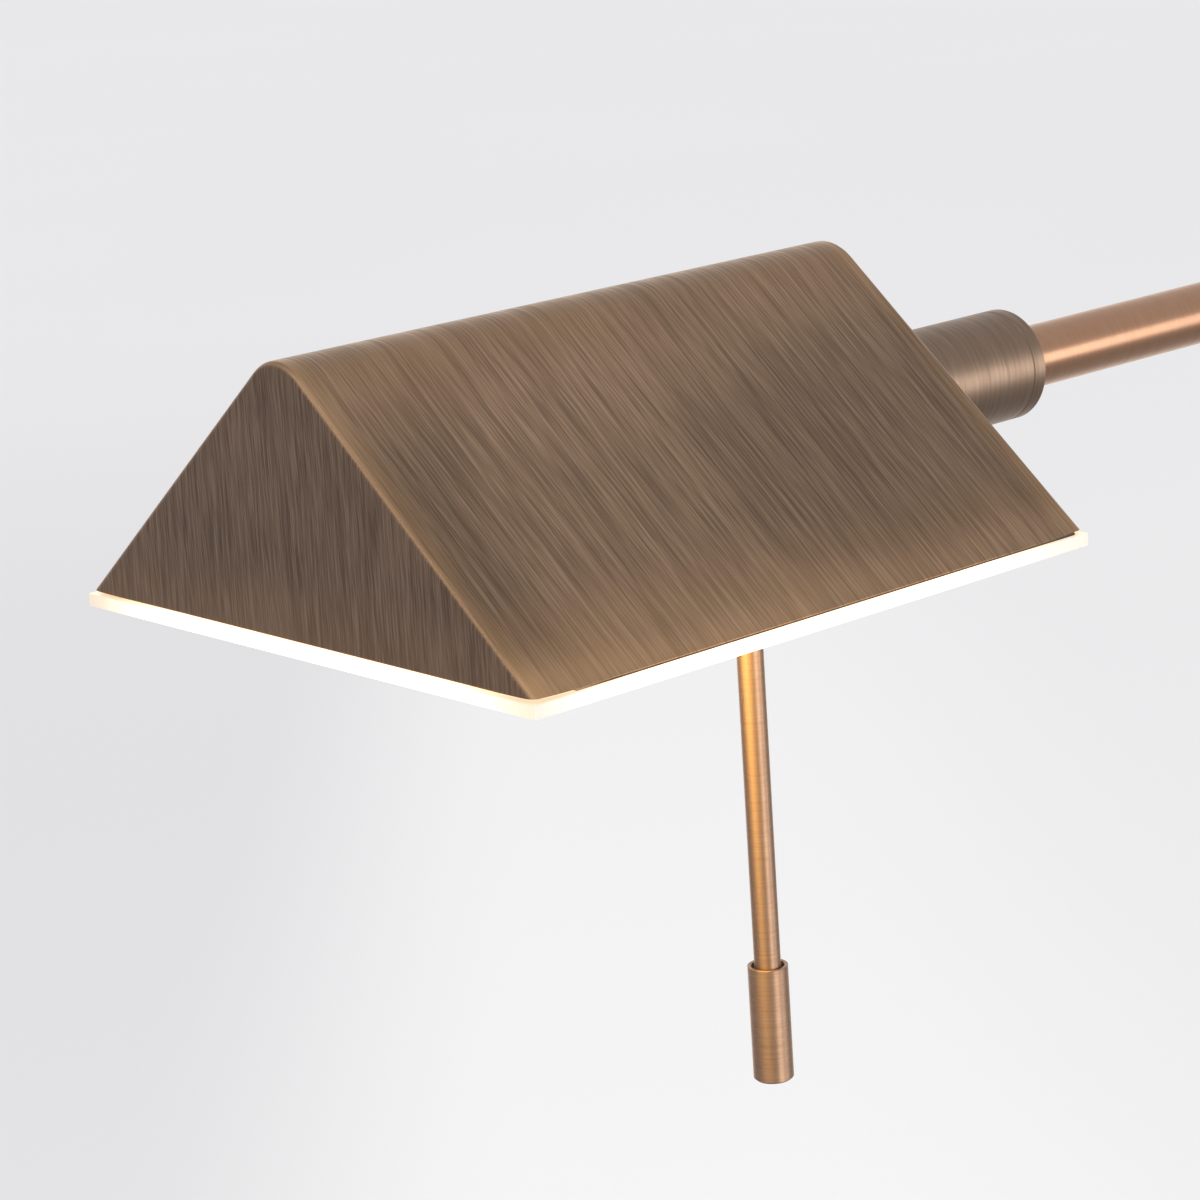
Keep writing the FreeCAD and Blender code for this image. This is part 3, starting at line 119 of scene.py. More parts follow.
class Graph:
    """Short calls for building one material's nodes."""

    def __init__(self, name):
        self.material = bpy.data.materials.new(name)
        self.material.use_nodes = True
        self.tree = self.material.node_tree
        self.shader = self.tree.nodes["Principled BSDF"]
        self.place = self.tree.nodes.new("ShaderNodeTexCoord")

    def node(self, kind, **settings):
        made = self.tree.nodes.new(kind)
        for name, value in settings.items():
            setattr(made, name, value)
        return made

    def feed(self, socket, value):
        """Link a socket or set a plain value on an input."""
        if isinstance(value, bpy.types.NodeSocket):
            self.tree.links.new(value, socket)
        else:
            socket.default_value = value

    def math(self, operation, *values, clamp=False):
        made = self.node("ShaderNodeMath", operation=operation, use_clamp=clamp)
        for socket, value in zip(made.inputs, values):
            self.feed(socket, value)
        return made.outputs[0]

    def vector(self, operation, *values):
        made = self.node("ShaderNodeVectorMath", operation=operation)
        for socket, value in zip(made.inputs, values):
            self.feed(socket, value)
        return made.outputs["Value"] if operation in ("LENGTH", "DOT_PRODUCT") else made.outputs[0]

    def combine(self, x, y, z):
        made = self.node("ShaderNodeCombineXYZ")
        for socket, value in zip(made.inputs, (x, y, z)):
            self.feed(socket, value)
        return made.outputs[0]

    def parts(self, vector):
        made = self.node("ShaderNodeSeparateXYZ")
        self.feed(made.inputs[0], vector)
        return made.outputs

    def noise(self, vector, scale, detail=2.0, roughness=0.5):
        made = self.node("ShaderNodeTexNoise")
        self.feed(made.inputs["Vector"], vector)
        self.feed(made.inputs["Scale"], scale)
        self.feed(made.inputs["Detail"], detail)
        self.feed(made.inputs["Roughness"], roughness)
        return made.outputs[0]

    def step(self, value, low, high, out_low=0.0, out_high=1.0):
        made = self.node("ShaderNodeMapRange", interpolation_type="SMOOTHSTEP")
        names = ("From Min", "From Max", "To Min", "To Max")
        for name, number in zip(names, (low, high, out_low, out_high)):
            self.feed(made.inputs[name], number)
        self.feed(made.inputs["Value"], value)
        return made.outputs["Result"]

    def mix(self, factor, first, second):
        made = self.node("ShaderNodeMix", data_type="RGBA")
        self.feed(made.inputs[0], factor)
        self.feed(made.inputs[MIX_COLOURS[0]], first)
        self.feed(made.inputs[MIX_COLOURS[1]], second)
        return made.outputs[MIX_COLOUR_RESULT]

    def blend(self, factor, first, second):
        made = self.node("ShaderNodeMix", data_type="FLOAT")
        self.feed(made.inputs[0], factor)
        self.feed(made.inputs[MIX_FLOATS[0]], first)
        self.feed(made.inputs[MIX_FLOATS[1]], second)
        return made.outputs[0]

    def bump(self, height, strength, distance):
        made = self.node("ShaderNodeBump")
        made.inputs["Strength"].default_value = strength
        made.inputs["Distance"].default_value = distance
        self.feed(made.inputs["Height"], height)
        self.feed(self.shader.inputs["Normal"], made.outputs[0])

    def set(self, **values):
        """Set or link inputs of the shader by name, with _ for a space."""
        for name, value in values.items():
            self.feed(self.shader.inputs[name.replace("_", " ")], value)

    def tangent(self, direction):
        """Stretch the highlights along an object-space direction."""
        made = self.node("ShaderNodeVectorTransform", vector_type="VECTOR")
        made.convert_from = "OBJECT"
        made.convert_to = "WORLD"
        self.feed(made.inputs[0], direction)
        self.feed(self.shader.inputs["Tangent"], made.outputs[0])


def colour(red, green, blue):
    return (red, green, blue, 1.0)


# ---------------------------------------------------------------- bronze

# Each patina is dark, middle and light brushed lines, and a lighter colour for painted highlights and
# reflections, which only the shell uses.
SHELL_PATINA = (
    colour(0.146, 0.095, 0.063),
    colour(0.210, 0.136, 0.088),
    colour(0.276, 0.184, 0.121),
    colour(0.440, 0.262, 0.128),
)
TURNED_PATINA = (
    colour(0.150, 0.102, 0.072),
    colour(0.190, 0.132, 0.096),
    colour(0.250, 0.176, 0.126),
    colour(0.380, 0.240, 0.140),
)
HANDLE_PATINA = (
    colour(0.250, 0.155, 0.104),
    colour(0.305, 0.194, 0.130),
    colour(0.360, 0.236, 0.162),
    colour(0.450, 0.290, 0.180),
)
COPPERY_PATINA = (
    colour(0.270, 0.148, 0.090),
    colour(0.345, 0.196, 0.122),
    colour(0.430, 0.258, 0.165),
    colour(0.520, 0.310, 0.180),
)


# A level of brushed lines runs from 0 for the darkest to 1, and most of a surface is near the middle.
MIDDLE_LEVEL = 0.5
DARK_TO_MIDDLE = (0.34, 0.52)
MIDDLE_TO_LIGHT = (0.50, 0.68)
USUAL_LEVELS = (0.3, 0.7)
LAYER_SPACING = 7.3
STREAK_DETAIL = 2.0
STREAK_ROUGHNESS = 0.6
STREAK_RELIEF = 0.5


def streaks(graph, across, along, layers):
    """Brushed lines: noise that changes quickly across them and slowly along, in several widths."""
    total = None
    for place, (width, length, skew, weight) in enumerate(layers):
        slanted = graph.math("ADD", across, graph.math("MULTIPLY", along, skew))
        vector = graph.combine(
            graph.math("MULTIPLY", slanted, 1 / width),
            graph.math("MULTIPLY", along, 1 / length),
            place * LAYER_SPACING,
        )
        noise = graph.noise(vector, 1.0, STREAK_DETAIL, STREAK_ROUGHNESS)
        centred = graph.math("SUBTRACT", noise, MIDDLE_LEVEL)
        level = graph.math("MULTIPLY", centred, weight)
        total = level if total is None else graph.math("ADD", total, level)
    return graph.math("ADD", total, MIDDLE_LEVEL)


def finish_bronze(graph, patina, level, sheen, roughness, spread, depth, tone=None):
    """Colour, roughness and relief from the brushed lines, the painted highlights and reflections on the
    place, and its painted tone.
    """
    dark, middle_tone, light, sheen_colour = patina
    base = graph.mix(graph.step(level, *DARK_TO_MIDDLE), dark, middle_tone)
    base = graph.mix(graph.step(level, *MIDDLE_TO_LIGHT), base, light)
    # Painted highlights and reflections: the lighter colour is mixed in where the sheen is high.
    base = graph.mix(sheen, base, sheen_colour)
    if tone is not None:
        base = graph.vector("MULTIPLY", base, graph.combine(tone, tone, tone))
    graph.set(
        Base_Color=base,
        Metallic=1.0,
        Roughness=graph.step(level, *USUAL_LEVELS, roughness + spread, roughness - spread),
    )
    graph.bump(level, STREAK_RELIEF, depth)


# Width, length and slant of each set of brushed lines, and its weight.
SHELL_LINES = (
    (0.00026, 0.009, 0.030, 0.90),
    (0.00044, 0.018, -0.040, 0.72),
    (0.00100, 0.026, 0.015, 0.12),
    (0.00700, 0.050, 0.0, 0.12),
)
TURNED_LINES = (
    (0.00030, 0.012, 0.0, 0.45),
    (0.00080, 0.030, 0.0, 0.35),
    (0.00220, 0.060, 0.0, 0.15),
)
HANDLE_LINES = (
    (0.00030, 0.002, 0.0, 0.40),
    (0.00090, 0.004, 0.0, 0.25),
)
TUBE_LINES = (
    (0.00030, 0.006, 0.0, 0.25),
    (0.00150, 0.012, 0.0, 0.15),
)


# The shell's finish. Each pair is where a change starts and ends: by how far the surface faces an end,
# or in metres from the front, the ends, the rim or the ridge.
SHELL_ROUGHNESS = 0.42
SHELL_ROUGHNESS_SPREAD = 0.07
SHELL_RELIEF = 0.00003
SHELL_ANISOTROPY = 0.5
FACES_END = (0.55, 0.85)
CLOUD_SCALE = 28.0
CLOUD_DETAIL = 2.0
# Random patches make the painted highlights and reflections stronger or weaker.
SHEEN_PATCH_RANGE = (0.55, 1.25)
# Painted reflection along the rim: where it fades from the front, its share at the rear, its height,
# strength and share on the ends.
RIM_REFLECTION_LENGTH = (0.015, 0.085)
RIM_REFLECTION_REAR_SHARE = 0.45
RIM_BAND = 0.014
RIM_REFLECTION = 0.40
RIM_END_SHARE = 0.35
# Painted highlight along the ridge.
RIDGE_BAND = 0.014
RIDGE_TOP = 0.001
RIDGE_HIGHLIGHT = 0.16
# Painted highlight on the slopes next to the ends, and on the rounded edges between the ends and the
# slopes.
END_BAND = (0.0008, 0.0062)
END_HIGHLIGHT = 0.26
BEND_START = (0.05, 0.30)
BEND_FINISH = (0.75, 0.97)
BEND_HIGHLIGHT = 0.36


def brushed_shell():
    """Straight brushing: down the slopes on the two sides, and upright on the two ends.

    Painted highlights and reflections make it lighter towards the rim, the ridge and the rounded ends, in
    random patches.
    """
    graph = Graph("bronze_brushed")
    x, y, z = graph.parts(graph.place.outputs["Object"])
    normal = graph.parts(graph.place.outputs["Normal"])
    facing_end = graph.math("ABSOLUTE", normal[1])
    on_end = graph.step(facing_end, *FACES_END)
    across = graph.blend(on_end, y, x)
    level = streaks(graph, across, z, SHELL_LINES)
    cloud = graph.noise(graph.place.outputs["Object"], CLOUD_SCALE, CLOUD_DETAIL)
    patch = graph.step(cloud, *USUAL_LEVELS, *SHEEN_PATCH_RANGE)
    height = graph.math("SUBTRACT", z, SHELL_LOW.z)
    from_front = graph.math("SUBTRACT", y, SHELL_LOW.y)
    from_rear = graph.math("SUBTRACT", SHELL_HIGH.y, y)
    to_end = graph.math("MINIMUM", from_front, from_rear)
    # Painted reflection along the rim, stronger towards the front and weaker on the ends.
    rim_front_weight = graph.step(from_front, *RIM_REFLECTION_LENGTH, 1.0, RIM_REFLECTION_REAR_SHARE)
    rim = graph.math("MULTIPLY", graph.step(height, 0.0, RIM_BAND, RIM_REFLECTION, 0.0), rim_front_weight)
    rim = graph.math("MULTIPLY", rim, graph.blend(on_end, 1.0, RIM_END_SHARE))
    # Painted highlight along the ridge, on the slopes only.
    ridge = graph.step(z, SHELL_HIGH.z - RIDGE_BAND, SHELL_HIGH.z - RIDGE_TOP, 0.0, RIDGE_HIGHLIGHT)
    ridge = graph.math("MULTIPLY", ridge, graph.math("SUBTRACT", 1.0, on_end))
    # Painted highlight on the slopes next to each end.
    end = graph.step(to_end, *END_BAND, END_HIGHLIGHT, 0.0)
    end = graph.math("MULTIPLY", end, graph.math("SUBTRACT", 1.0, on_end))
    sheen = graph.math("ADD", graph.math("ADD", rim, ridge), end)
    sheen = graph.math("MULTIPLY", sheen, patch)
    # Painted highlight on the rounded edges, by how far they turn from the slopes to the ends.
    leaving = graph.step(facing_end, *BEND_FINISH, 1.0, 0.0)
    bend = graph.math("MULTIPLY", graph.step(facing_end, *BEND_START), leaving)
    sheen = graph.math("MAXIMUM", sheen, graph.math("MULTIPLY", bend, BEND_HIGHLIGHT))
    # Painted lighter and darker reflections over the slopes.
    tone = slope_sheen(graph, from_front, height, on_end)
    finish_bronze(
        graph, SHELL_PATINA, level, sheen, SHELL_ROUGHNESS, SHELL_ROUGHNESS_SPREAD, SHELL_RELIEF, tone
    )
    graph.set(Anisotropic=SHELL_ANISOTROPY)
    graph.tangent(graph.combine(on_end, graph.math("SUBTRACT", 1.0, on_end), 0.0))
    return graph.material


# The painted reflection and shade of a slope, by shares of its length from the front and of its height from
# the ridge.
FRONT_DARK = (0.03, 0.17)
REAR_DARK = (0.40, 0.60)
REAR_DARK_SHARE = 0.80
BELT_TOP = (0.12, 0.42)
BELT_FOOT = (0.84, 0.95)
HIGH_TOP = (0.10, 0.22)
HIGH_FOOT = (0.28, 0.50)
INNER_START = (0.10, 0.35)
INNER_FINISH = (0.55, 0.75)
LOW_BAND = (0.90, 0.98)
LOW_LENGTH = (0.42, 0.54)
LOW_REAR_SHARE = 0.3
LIGHTENING = 0.16
DARKENING = 0.21


def slope_sheen(graph, from_front, height, on_end):
    """Painted reflection and shade: darker on the middle of a slope at its front edge and its rear half,
    lighter high up in its middle and along its foot.
    """
    along = graph.math("DIVIDE", from_front, SHELL_HIGH.y - SHELL_LOW.y)
    down = graph.math("SUBTRACT", 1.0, graph.math("DIVIDE", height, SHELL_HIGH.z - SHELL_LOW.z))
    front = graph.step(along, *FRONT_DARK, 1.0, 0.0)
    rear = graph.step(along, *REAR_DARK, 0.0, REAR_DARK_SHARE)
    belt = graph.math("MULTIPLY", graph.step(down, *BELT_TOP), graph.step(down, *BELT_FOOT, 1.0, 0.0))
    dark = graph.math("MULTIPLY", graph.math("MAXIMUM", front, rear), belt)
    high = graph.math("MULTIPLY", graph.step(down, *HIGH_TOP), graph.step(down, *HIGH_FOOT, 1.0, 0.0))
    inner_end = graph.step(along, *INNER_FINISH, 1.0, 0.0)
    inner = graph.math("MULTIPLY", graph.step(along, *INNER_START), inner_end)
    low_end = graph.step(along, *LOW_LENGTH, 1.0, LOW_REAR_SHARE)
    low = graph.math("MULTIPLY", graph.step(down, *LOW_BAND), low_end)
    light = graph.math("MAXIMUM", graph.math("MULTIPLY", high, inner), low)
    lighter = graph.math("MULTIPLY", light, LIGHTENING)
    darker = graph.math("MULTIPLY", dark, DARKENING)
    change = graph.math("SUBTRACT", lighter, darker)
    change = graph.math("MULTIPLY", change, graph.math("SUBTRACT", 1.0, on_end))
    return graph.math("ADD", change, 1.0)


RING_ROUGHNESS_SPREAD = 0.05
RING_RELIEF = 0.00004


def ring_bronze(name, axis, centre, patina, roughness, anisotropic, lines):
    """Turned or spun metal: fine rings about an axis, on its sides and on its flat faces."""
    graph = Graph(name)
    offset = graph.vector("SUBTRACT", graph.place.outputs["Object"], tuple(centre))
    along = graph.vector("DOT_PRODUCT", offset, tuple(axis))
    inline = graph.node("ShaderNodeVectorMath", operation="SCALE")
    inline.inputs[0].default_value = tuple(axis)
    graph.feed(inline.inputs["Scale"], along)
    outward = graph.vector("SUBTRACT", offset, inline.outputs[0])
    radius = graph.vector("LENGTH", outward)
    across = graph.math("ADD", along, radius)
    direction = graph.vector("NORMALIZE", outward)
    around = graph.parts(graph.vector("CROSS_PRODUCT", direction, tuple(axis)))
    sweep = graph.math("ADD", graph.math("ADD", around[0], around[1]), around[2])
    level = streaks(graph, across, graph.math("MULTIPLY", sweep, radius), lines)
    finish_bronze(graph, patina, level, 0.0, roughness, RING_ROUGHNESS_SPREAD, RING_RELIEF)
    graph.set(Anisotropic=anisotropic)
    graph.tangent(graph.vector("ADD", direction, tuple(axis)))
    return graph.material


# ---------------------------------------------------------------- other materials

GLOW_COLOUR = colour(1.0, 0.80, 0.56)
DIM_COLOUR = colour(1.0, 0.78, 0.52)
LIP_COLOUR = colour(1.0, 0.68, 0.42)
FACE_COLOUR = colour(1.0, 0.69, 0.22)
EDGE_GLOW = 1.9
CORNER_GLOW = 0.57
FRONT_CORNER_GLOW = 0.72
SIDE_CORNER_GLOW = 0.25
LIP_GLOW = 0.80
LIP_MIDDLE_GLOW = 2.6
FACE_GLOW = 30.0
ROW_GLOW = 4.0
BORDER_GLOW = 4.0
# The rows stop short of the handle, so the face is dimmer round it.
HANDLE_NEAR = ROD_AXIS.y - 0.040
HANDLE_FAR = ROD_AXIS.y - 0.005
NEAR_HANDLE_SHARE = 0.45
# Where each change of the glow starts and ends, in metres from a corner, an edge, the middle or a row.
FRONT_CORNER_REACH = (0.010, 0.060)
FRONT_FADE = 0.024
REAR_FADE = 0.055
FADE_CHANGE = (0.050, 0.080)
MIDDLE_REACH = (0.004, 0.040)
ROW_REACH = 0.010
BORDER_REACH = 0.030
LIP_WIDTH = (0.001, 0.002)
LIP_CORNER_REACH = (0.004, 0.030)
# How far a surface faces the +X side, down or up.
FACES_SIDE = (0.4, 0.8)
FACES_DOWN = (-0.9, -0.4)
FACES_UP = (0.4, 0.9)
OPAL_TONES = (colour(0.36, 0.35, 0.33), colour(0.40, 0.39, 0.37))
OPAL_ROUGHNESS = (0.30, 0.42)
OPAL_GRAIN_SCALE = 900.0
OPAL_GRAIN_DETAIL = 3.0
OPAL_GRAIN_GLOW = 0.03
OPAL_BUMP = 0.15
OPAL_RELIEF = 0.00002


def opal_diffuser():
    """Opal acrylic lit from behind: brightest between the two rows of chips, dimmest at its corners.

    The corner at the front on the +X side is a little brighter than the others. The +X side glows less at
    its ends, because the side light falls on it.
    """
    graph = Graph("opal_acrylic")
    place = graph.parts(graph.place.outputs["Object"])
    x = place[0]
    y = place[1]
    normal = graph.parts(graph.place.outputs["Normal"])
    centre = middle(DIFFUSER_LOW, DIFFUSER_HIGH)
    half = (DIFFUSER_HIGH - DIFFUSER_LOW) / 2
    to_side = graph.math("SUBTRACT", half.x, graph.math("ABSOLUTE", x))
    to_end = graph.math("SUBTRACT", half.y, graph.math("ABSOLUTE", graph.math("SUBTRACT", y, centre.y)))
    to_corner = graph.math("MAXIMUM", to_side, to_end)
    to_edge = graph.math("MINIMUM", to_side, to_end)
    grain = graph.noise(graph.place.outputs["Object"], OPAL_GRAIN_SCALE, OPAL_GRAIN_DETAIL)

    # The upright edge.
    across = graph.math("SUBTRACT", DIFFUSER_HIGH.x, x)
    back = graph.math("SUBTRACT", y, DIFFUSER_LOW.y)
    from_front_corner = graph.math("ADD", across, back)
    corner = graph.step(from_front_corner, *FRONT_CORNER_REACH, FRONT_CORNER_GLOW, CORNER_GLOW)
    corner = graph.blend(graph.step(normal[0], *FACES_SIDE), corner, SIDE_CORNER_GLOW)
    reach = graph.step(back, *FADE_CHANGE, FRONT_FADE, REAR_FADE)
    inward = graph.step(to_corner, 0.0, reach)
    edge = graph.blend(inward, corner, EDGE_GLOW)

    # The face below.
    off_middle = graph.math("ABSOLUTE", x)
    from_row = graph.math("ABSOLUTE", graph.math("SUBTRACT", off_middle, ROW_PLACE))
    face = graph.step(off_middle, *MIDDLE_REACH, FACE_GLOW, BORDER_GLOW)
    face = graph.math("ADD", face, graph.step(from_row, 0.0, ROW_REACH, ROW_GLOW, 0.0))
    face = graph.math("MULTIPLY", face, graph.step(y, HANDLE_NEAR, HANDLE_FAR, 1.0, NEAR_HANDLE_SHARE))
    face = graph.blend(graph.step(to_edge, 0.0, BORDER_REACH), BORDER_GLOW, face)
    below = graph.step(normal[2], *FACES_DOWN, 1.0, 0.0)

    # The narrow lip that shows above, round the shell.
    lip = graph.step(to_edge, *LIP_WIDTH, 1.0, 0.0)
    above = graph.math("MULTIPLY", graph.step(normal[2], *FACES_UP), lip)
    lip_level = graph.blend(graph.step(to_corner, *LIP_CORNER_REACH), LIP_GLOW, LIP_MIDDLE_GLOW)
    side = graph.blend(above, edge, lip_level)

    speckle = graph.math("MULTIPLY", grain, OPAL_GRAIN_GLOW)
    level = graph.math("ADD", graph.blend(below, side, face), speckle)
    tint = graph.mix(above, graph.mix(inward, DIM_COLOUR, GLOW_COLOUR), LIP_COLOUR)
    graph.set(
        Base_Color=graph.mix(grain, *OPAL_TONES),
        Roughness=graph.step(grain, *USUAL_LEVELS, *OPAL_ROUGHNESS),
        Emission_Color=graph.mix(below, tint, FACE_COLOUR),
        Emission_Strength=level,
    )
    graph.bump(grain, OPAL_BUMP, OPAL_RELIEF)
    return graph.material


EVEN_GRAIN = (1, 1, 1)
DRAWN_GRAIN = (1, 0.05, 1)
SPANGLE = (1, 1, 0.15)
FINE_RELIEF = 0.00002
RELIEF = 0.00003
GRAIN_DETAIL = 4.0
GRAIN_ROUGHNESS = 0.6
FINE_SHARE = 0.6
CLOUD_SHARE = 0.4
CLOUD_SIZE = 12
TONE_LEVELS = (0.35, 0.65)
GRAIN_ROUGHNESS_SPREAD = 0.07
GRAIN_BUMP = 0.4

RUBBER_TONES = ((0.012, 0.012, 0.012), (0.03, 0.03, 0.03))
RUBBER_GRAIN = 2500.0
RUBBER_ROUGHNESS = 0.75
PHOSPHOR_TONES = ((0.85, 0.60, 0.16), (0.95, 0.72, 0.25))
PHOSPHOR_GRAIN = 3000.0
PHOSPHOR_ROUGHNESS = 0.45
PHOSPHOR_GLOW = 4.0
# The light that leaks round the seal, and how far back from its front end.
SEAL_LEAK = 0.30
SEAL_LEAK_LENGTH = 0.008

# Slot, two tones, grain scale, roughness, metallic, relief and stretch of the grain.
PLAIN_FINISHES = (
    ("black_rubber", *RUBBER_TONES, RUBBER_GRAIN, RUBBER_ROUGHNESS, 0.0, RELIEF, EVEN_GRAIN),
    ("aluminium_plate", (0.55, 0.56, 0.58), (0.74, 0.75, 0.76), 500.0, 0.38, 1.0, FINE_RELIEF, DRAWN_GRAIN),
    ("plain_brass", (0.55, 0.36, 0.13), (0.72, 0.50, 0.22), 900.0, 0.33, 1.0, FINE_RELIEF, SPANGLE),
    ("zinc_steel", (0.42, 0.43, 0.45), (0.66, 0.67, 0.69), 420.0, 0.36, 1.0, FINE_RELIEF, EVEN_GRAIN),
    ("spring_steel", (0.10, 0.10, 0.11), (0.22, 0.22, 0.24), 700.0, 0.42, 1.0, RELIEF, EVEN_GRAIN),
    ("board_white", (0.70, 0.71, 0.70), (0.82, 0.83, 0.82), 1400.0, 0.42, 0.0, RELIEF, EVEN_GRAIN),
    ("white_plastic", (0.66, 0.66, 0.63), (0.76, 0.76, 0.74), 1800.0, 0.5, 0.0, RELIEF, EVEN_GRAIN),
    ("bearing_plastic", (0.70, 0.69, 0.62), (0.80, 0.79, 0.73), 1600.0, 0.4, 0.0, RELIEF, EVEN_GRAIN),
    ("lead_jacket", (0.60, 0.58, 0.54), (0.70, 0.68, 0.64), 2200.0, 0.55, 0.0, RELIEF, EVEN_GRAIN),
)


def grained(name, first, second, scale, roughness, metallic=0.0, depth=RELIEF, stretch=EVEN_GRAIN):
    """A plain surface with fine grain in its colour, roughness and height."""
    graph = Graph(name)
    scaled = graph.vector("MULTIPLY", graph.place.outputs["Object"], stretch)
    fine = graph.noise(scaled, scale, GRAIN_DETAIL, GRAIN_ROUGHNESS)
    cloud = graph.noise(graph.place.outputs["Object"], scale / CLOUD_SIZE, CLOUD_DETAIL)
    fine_part = graph.math("MULTIPLY", fine, FINE_SHARE)
    level = graph.math("ADD", fine_part, graph.math("MULTIPLY", cloud, CLOUD_SHARE))
    rougher = roughness + GRAIN_ROUGHNESS_SPREAD
    smoother = roughness - GRAIN_ROUGHNESS_SPREAD
    graph.set(
        Base_Color=graph.mix(graph.step(level, *TONE_LEVELS), colour(*first), colour(*second)),
        Metallic=metallic,
        Roughness=graph.step(level, *USUAL_LEVELS, rougher, smoother),
    )
    graph.bump(fine, GRAIN_BUMP, depth)
    return graph


def leaking_seal():
    """Black rubber with the diffuser's light showing round its front end."""
    graph = grained("seal_rubber", *RUBBER_TONES, RUBBER_GRAIN, RUBBER_ROUGHNESS)
    y = graph.parts(graph.place.outputs["Object"])[1]
    leak = graph.step(y, SEAL_LOW.y, SEAL_LOW.y + SEAL_LEAK_LENGTH, SEAL_LEAK, 0.0)
    graph.set(Emission_Color=LIP_COLOUR, Emission_Strength=leak)
    return graph.material


def lit_phosphor():
    """The yellow phosphor of the LED chips, switched on."""
    graph = grained("led_phosphor", *PHOSPHOR_TONES, PHOSPHOR_GRAIN, PHOSPHOR_ROUGHNESS)
    graph.set(Emission_Color=GLOW_COLOUR, Emission_Strength=PHOSPHOR_GLOW)
    return graph.material


def plain_materials():
    """The finish of each slot that isn't bronze."""
    finishes = {name: grained(name, *finish).material for name, *finish in PLAIN_FINISHES}
    finishes["led_phosphor"] = lit_phosphor()
    finishes["opal_acrylic"] = opal_diffuser()
    return finishes


def cover(node, material):
    """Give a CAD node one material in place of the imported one."""
    mesh = frame["nodes"][node].data
    mesh.materials.clear()
    mesh.materials.append(material)
    for polygon in mesh.polygons:
        polygon.material_index = 0


# Finish: axis and centre of its rings, patina, roughness, stretch of its highlights, and lines.
RING_FINISHES = {
    "bronze_collar": (Y_AXIS, ARM_AXIS, TURNED_PATINA, 0.46, 0.5, TURNED_LINES),
    "bronze_knuckle": (Z_AXIS, PIVOT_AXIS, TURNED_PATINA, 0.44, 0.5, TURNED_LINES),
    "bronze_handle": (Z_AXIS, ROD_AXIS, HANDLE_PATINA, 0.50, 0.8, HANDLE_LINES),
    "bronze_spun": (Y_AXIS, CANOPY_AXIS, SHELL_PATINA, 0.42, 0.5, TURNED_LINES),
    "bronze_arm": (Y_AXIS, ARM_AXIS, COPPERY_PATINA, 0.34, 0.6, TUBE_LINES),
    "bronze_post": (Y_AXIS, CANOPY_AXIS, COPPERY_PATINA, 0.34, 0.6, TUBE_LINES),
}
RINGED_NODES = {
    "bronze_collar": ("collar", "collar_end_ring"),
    "bronze_knuckle": ("lower_knuckle", "upper_knuckle", "lower_cap", "upper_cap"),
    "bronze_handle": ("handle_rod", "handle_grip", "handle_ferrule"),
    "bronze_spun": ("canopy", "canopy_skirt", "canopy_screws", "post_rosette"),
    "bronze_arm": ("arm_tube",),
    "bronze_post": ("wall_post",),
}


def dress_nodes():
    """Cover every CAD node with the finish of its slot, or with rings about the piece's own axis."""
    plain = plain_materials()
    special = {"shade_shell": brushed_shell(), "diffuser_gasket": leaking_seal()}
    for name, finish in RING_FINISHES.items():
        rings = ring_bronze(name, *finish)
        for node in RINGED_NODES[name]:
            special[node] = rings
    for part in frame["record"]["subparts"]:
        node = part["node"]
        slot = part["material_slot"]
        cover(node, special[node] if node in special else plain[slot])


# ---------------------------------------------------------------- room

FLOOR_DROP = 1.0
FLOOR_SIZE = 80.0
FLOOR_ACROSS = (0.66, 0.75, 0.0)
FLOOR_AWAY = (-0.75, 0.66, 0.0)
# Where the floor's painted dimmer side, its painted pool of light and its far part start and are full, in
# metres.
DIM_SIDE = (-0.10, 0.40)
DIM_SIDE_SHARE = 0.35
POOL_EDGE = (-0.72, -0.34)
FAR_PART = (3.0, 6.5)
HAZE_SCALE = 0.6
HAZE_DETAIL = 2.0
NEAR_TONES = (colour(0.785, 0.782, 0.788), colour(0.925, 0.925, 0.925))
FAR_TONES = (colour(0.855, 0.855, 0.86), colour(0.875, 0.875, 0.88))
FLOOR_ROUGHNESS = 0.9


def make_floor():
    """A plain pale floor well below the light, with a painted pool of light on it and a painted dimmer
    side.
    """
    half = FLOOR_SIZE / 2
    z = cad_box[0][2] - FLOOR_DROP
    mesh = bpy.data.meshes.new("floor")
    corners = [(-half, -half, z), (half, -half, z), (half, half, z), (-half, half, z)]
    mesh.from_pydata(corners, [], [(0, 1, 2, 3)])
    floor = bpy.data.objects.new("floor", mesh)
    bpy.context.scene.collection.objects.link(floor)
    graph = Graph("floor_paint")
    place = graph.place.outputs["Object"]
    haze = graph.noise(place, HAZE_SCALE, HAZE_DETAIL)
    sideways = graph.vector("DOT_PRODUCT", place, FLOOR_ACROSS)
    away = graph.vector("DOT_PRODUCT", place, FLOOR_AWAY)
    # Painted shade on one side of the floor and a painted pool of light beside it.
    dim_side = graph.step(sideways, *DIM_SIDE, 0.0, DIM_SIDE_SHARE)
    pool = graph.math("SUBTRACT", graph.step(sideways, *POOL_EDGE), dim_side)
    near = graph.mix(pool, *NEAR_TONES)
    far = graph.mix(haze, *FAR_TONES)
    graph.set(
        Base_Color=graph.mix(graph.step(away, *FAR_PART), near, far),
        Roughness=FLOOR_ROUGHNESS,
        Specular_IOR_Level=0.0,
    )
    mesh.materials.append(graph.material)
    floor.visible_glossy = False


# Two directions seen from the light: a bright backdrop behind it, and a cool window beyond its front.
BACKDROP_DIRECTION = Vector((-0.727, 0.638, -0.253))
WINDOW_DIRECTION = Vector((-0.73, -0.64, -0.25))
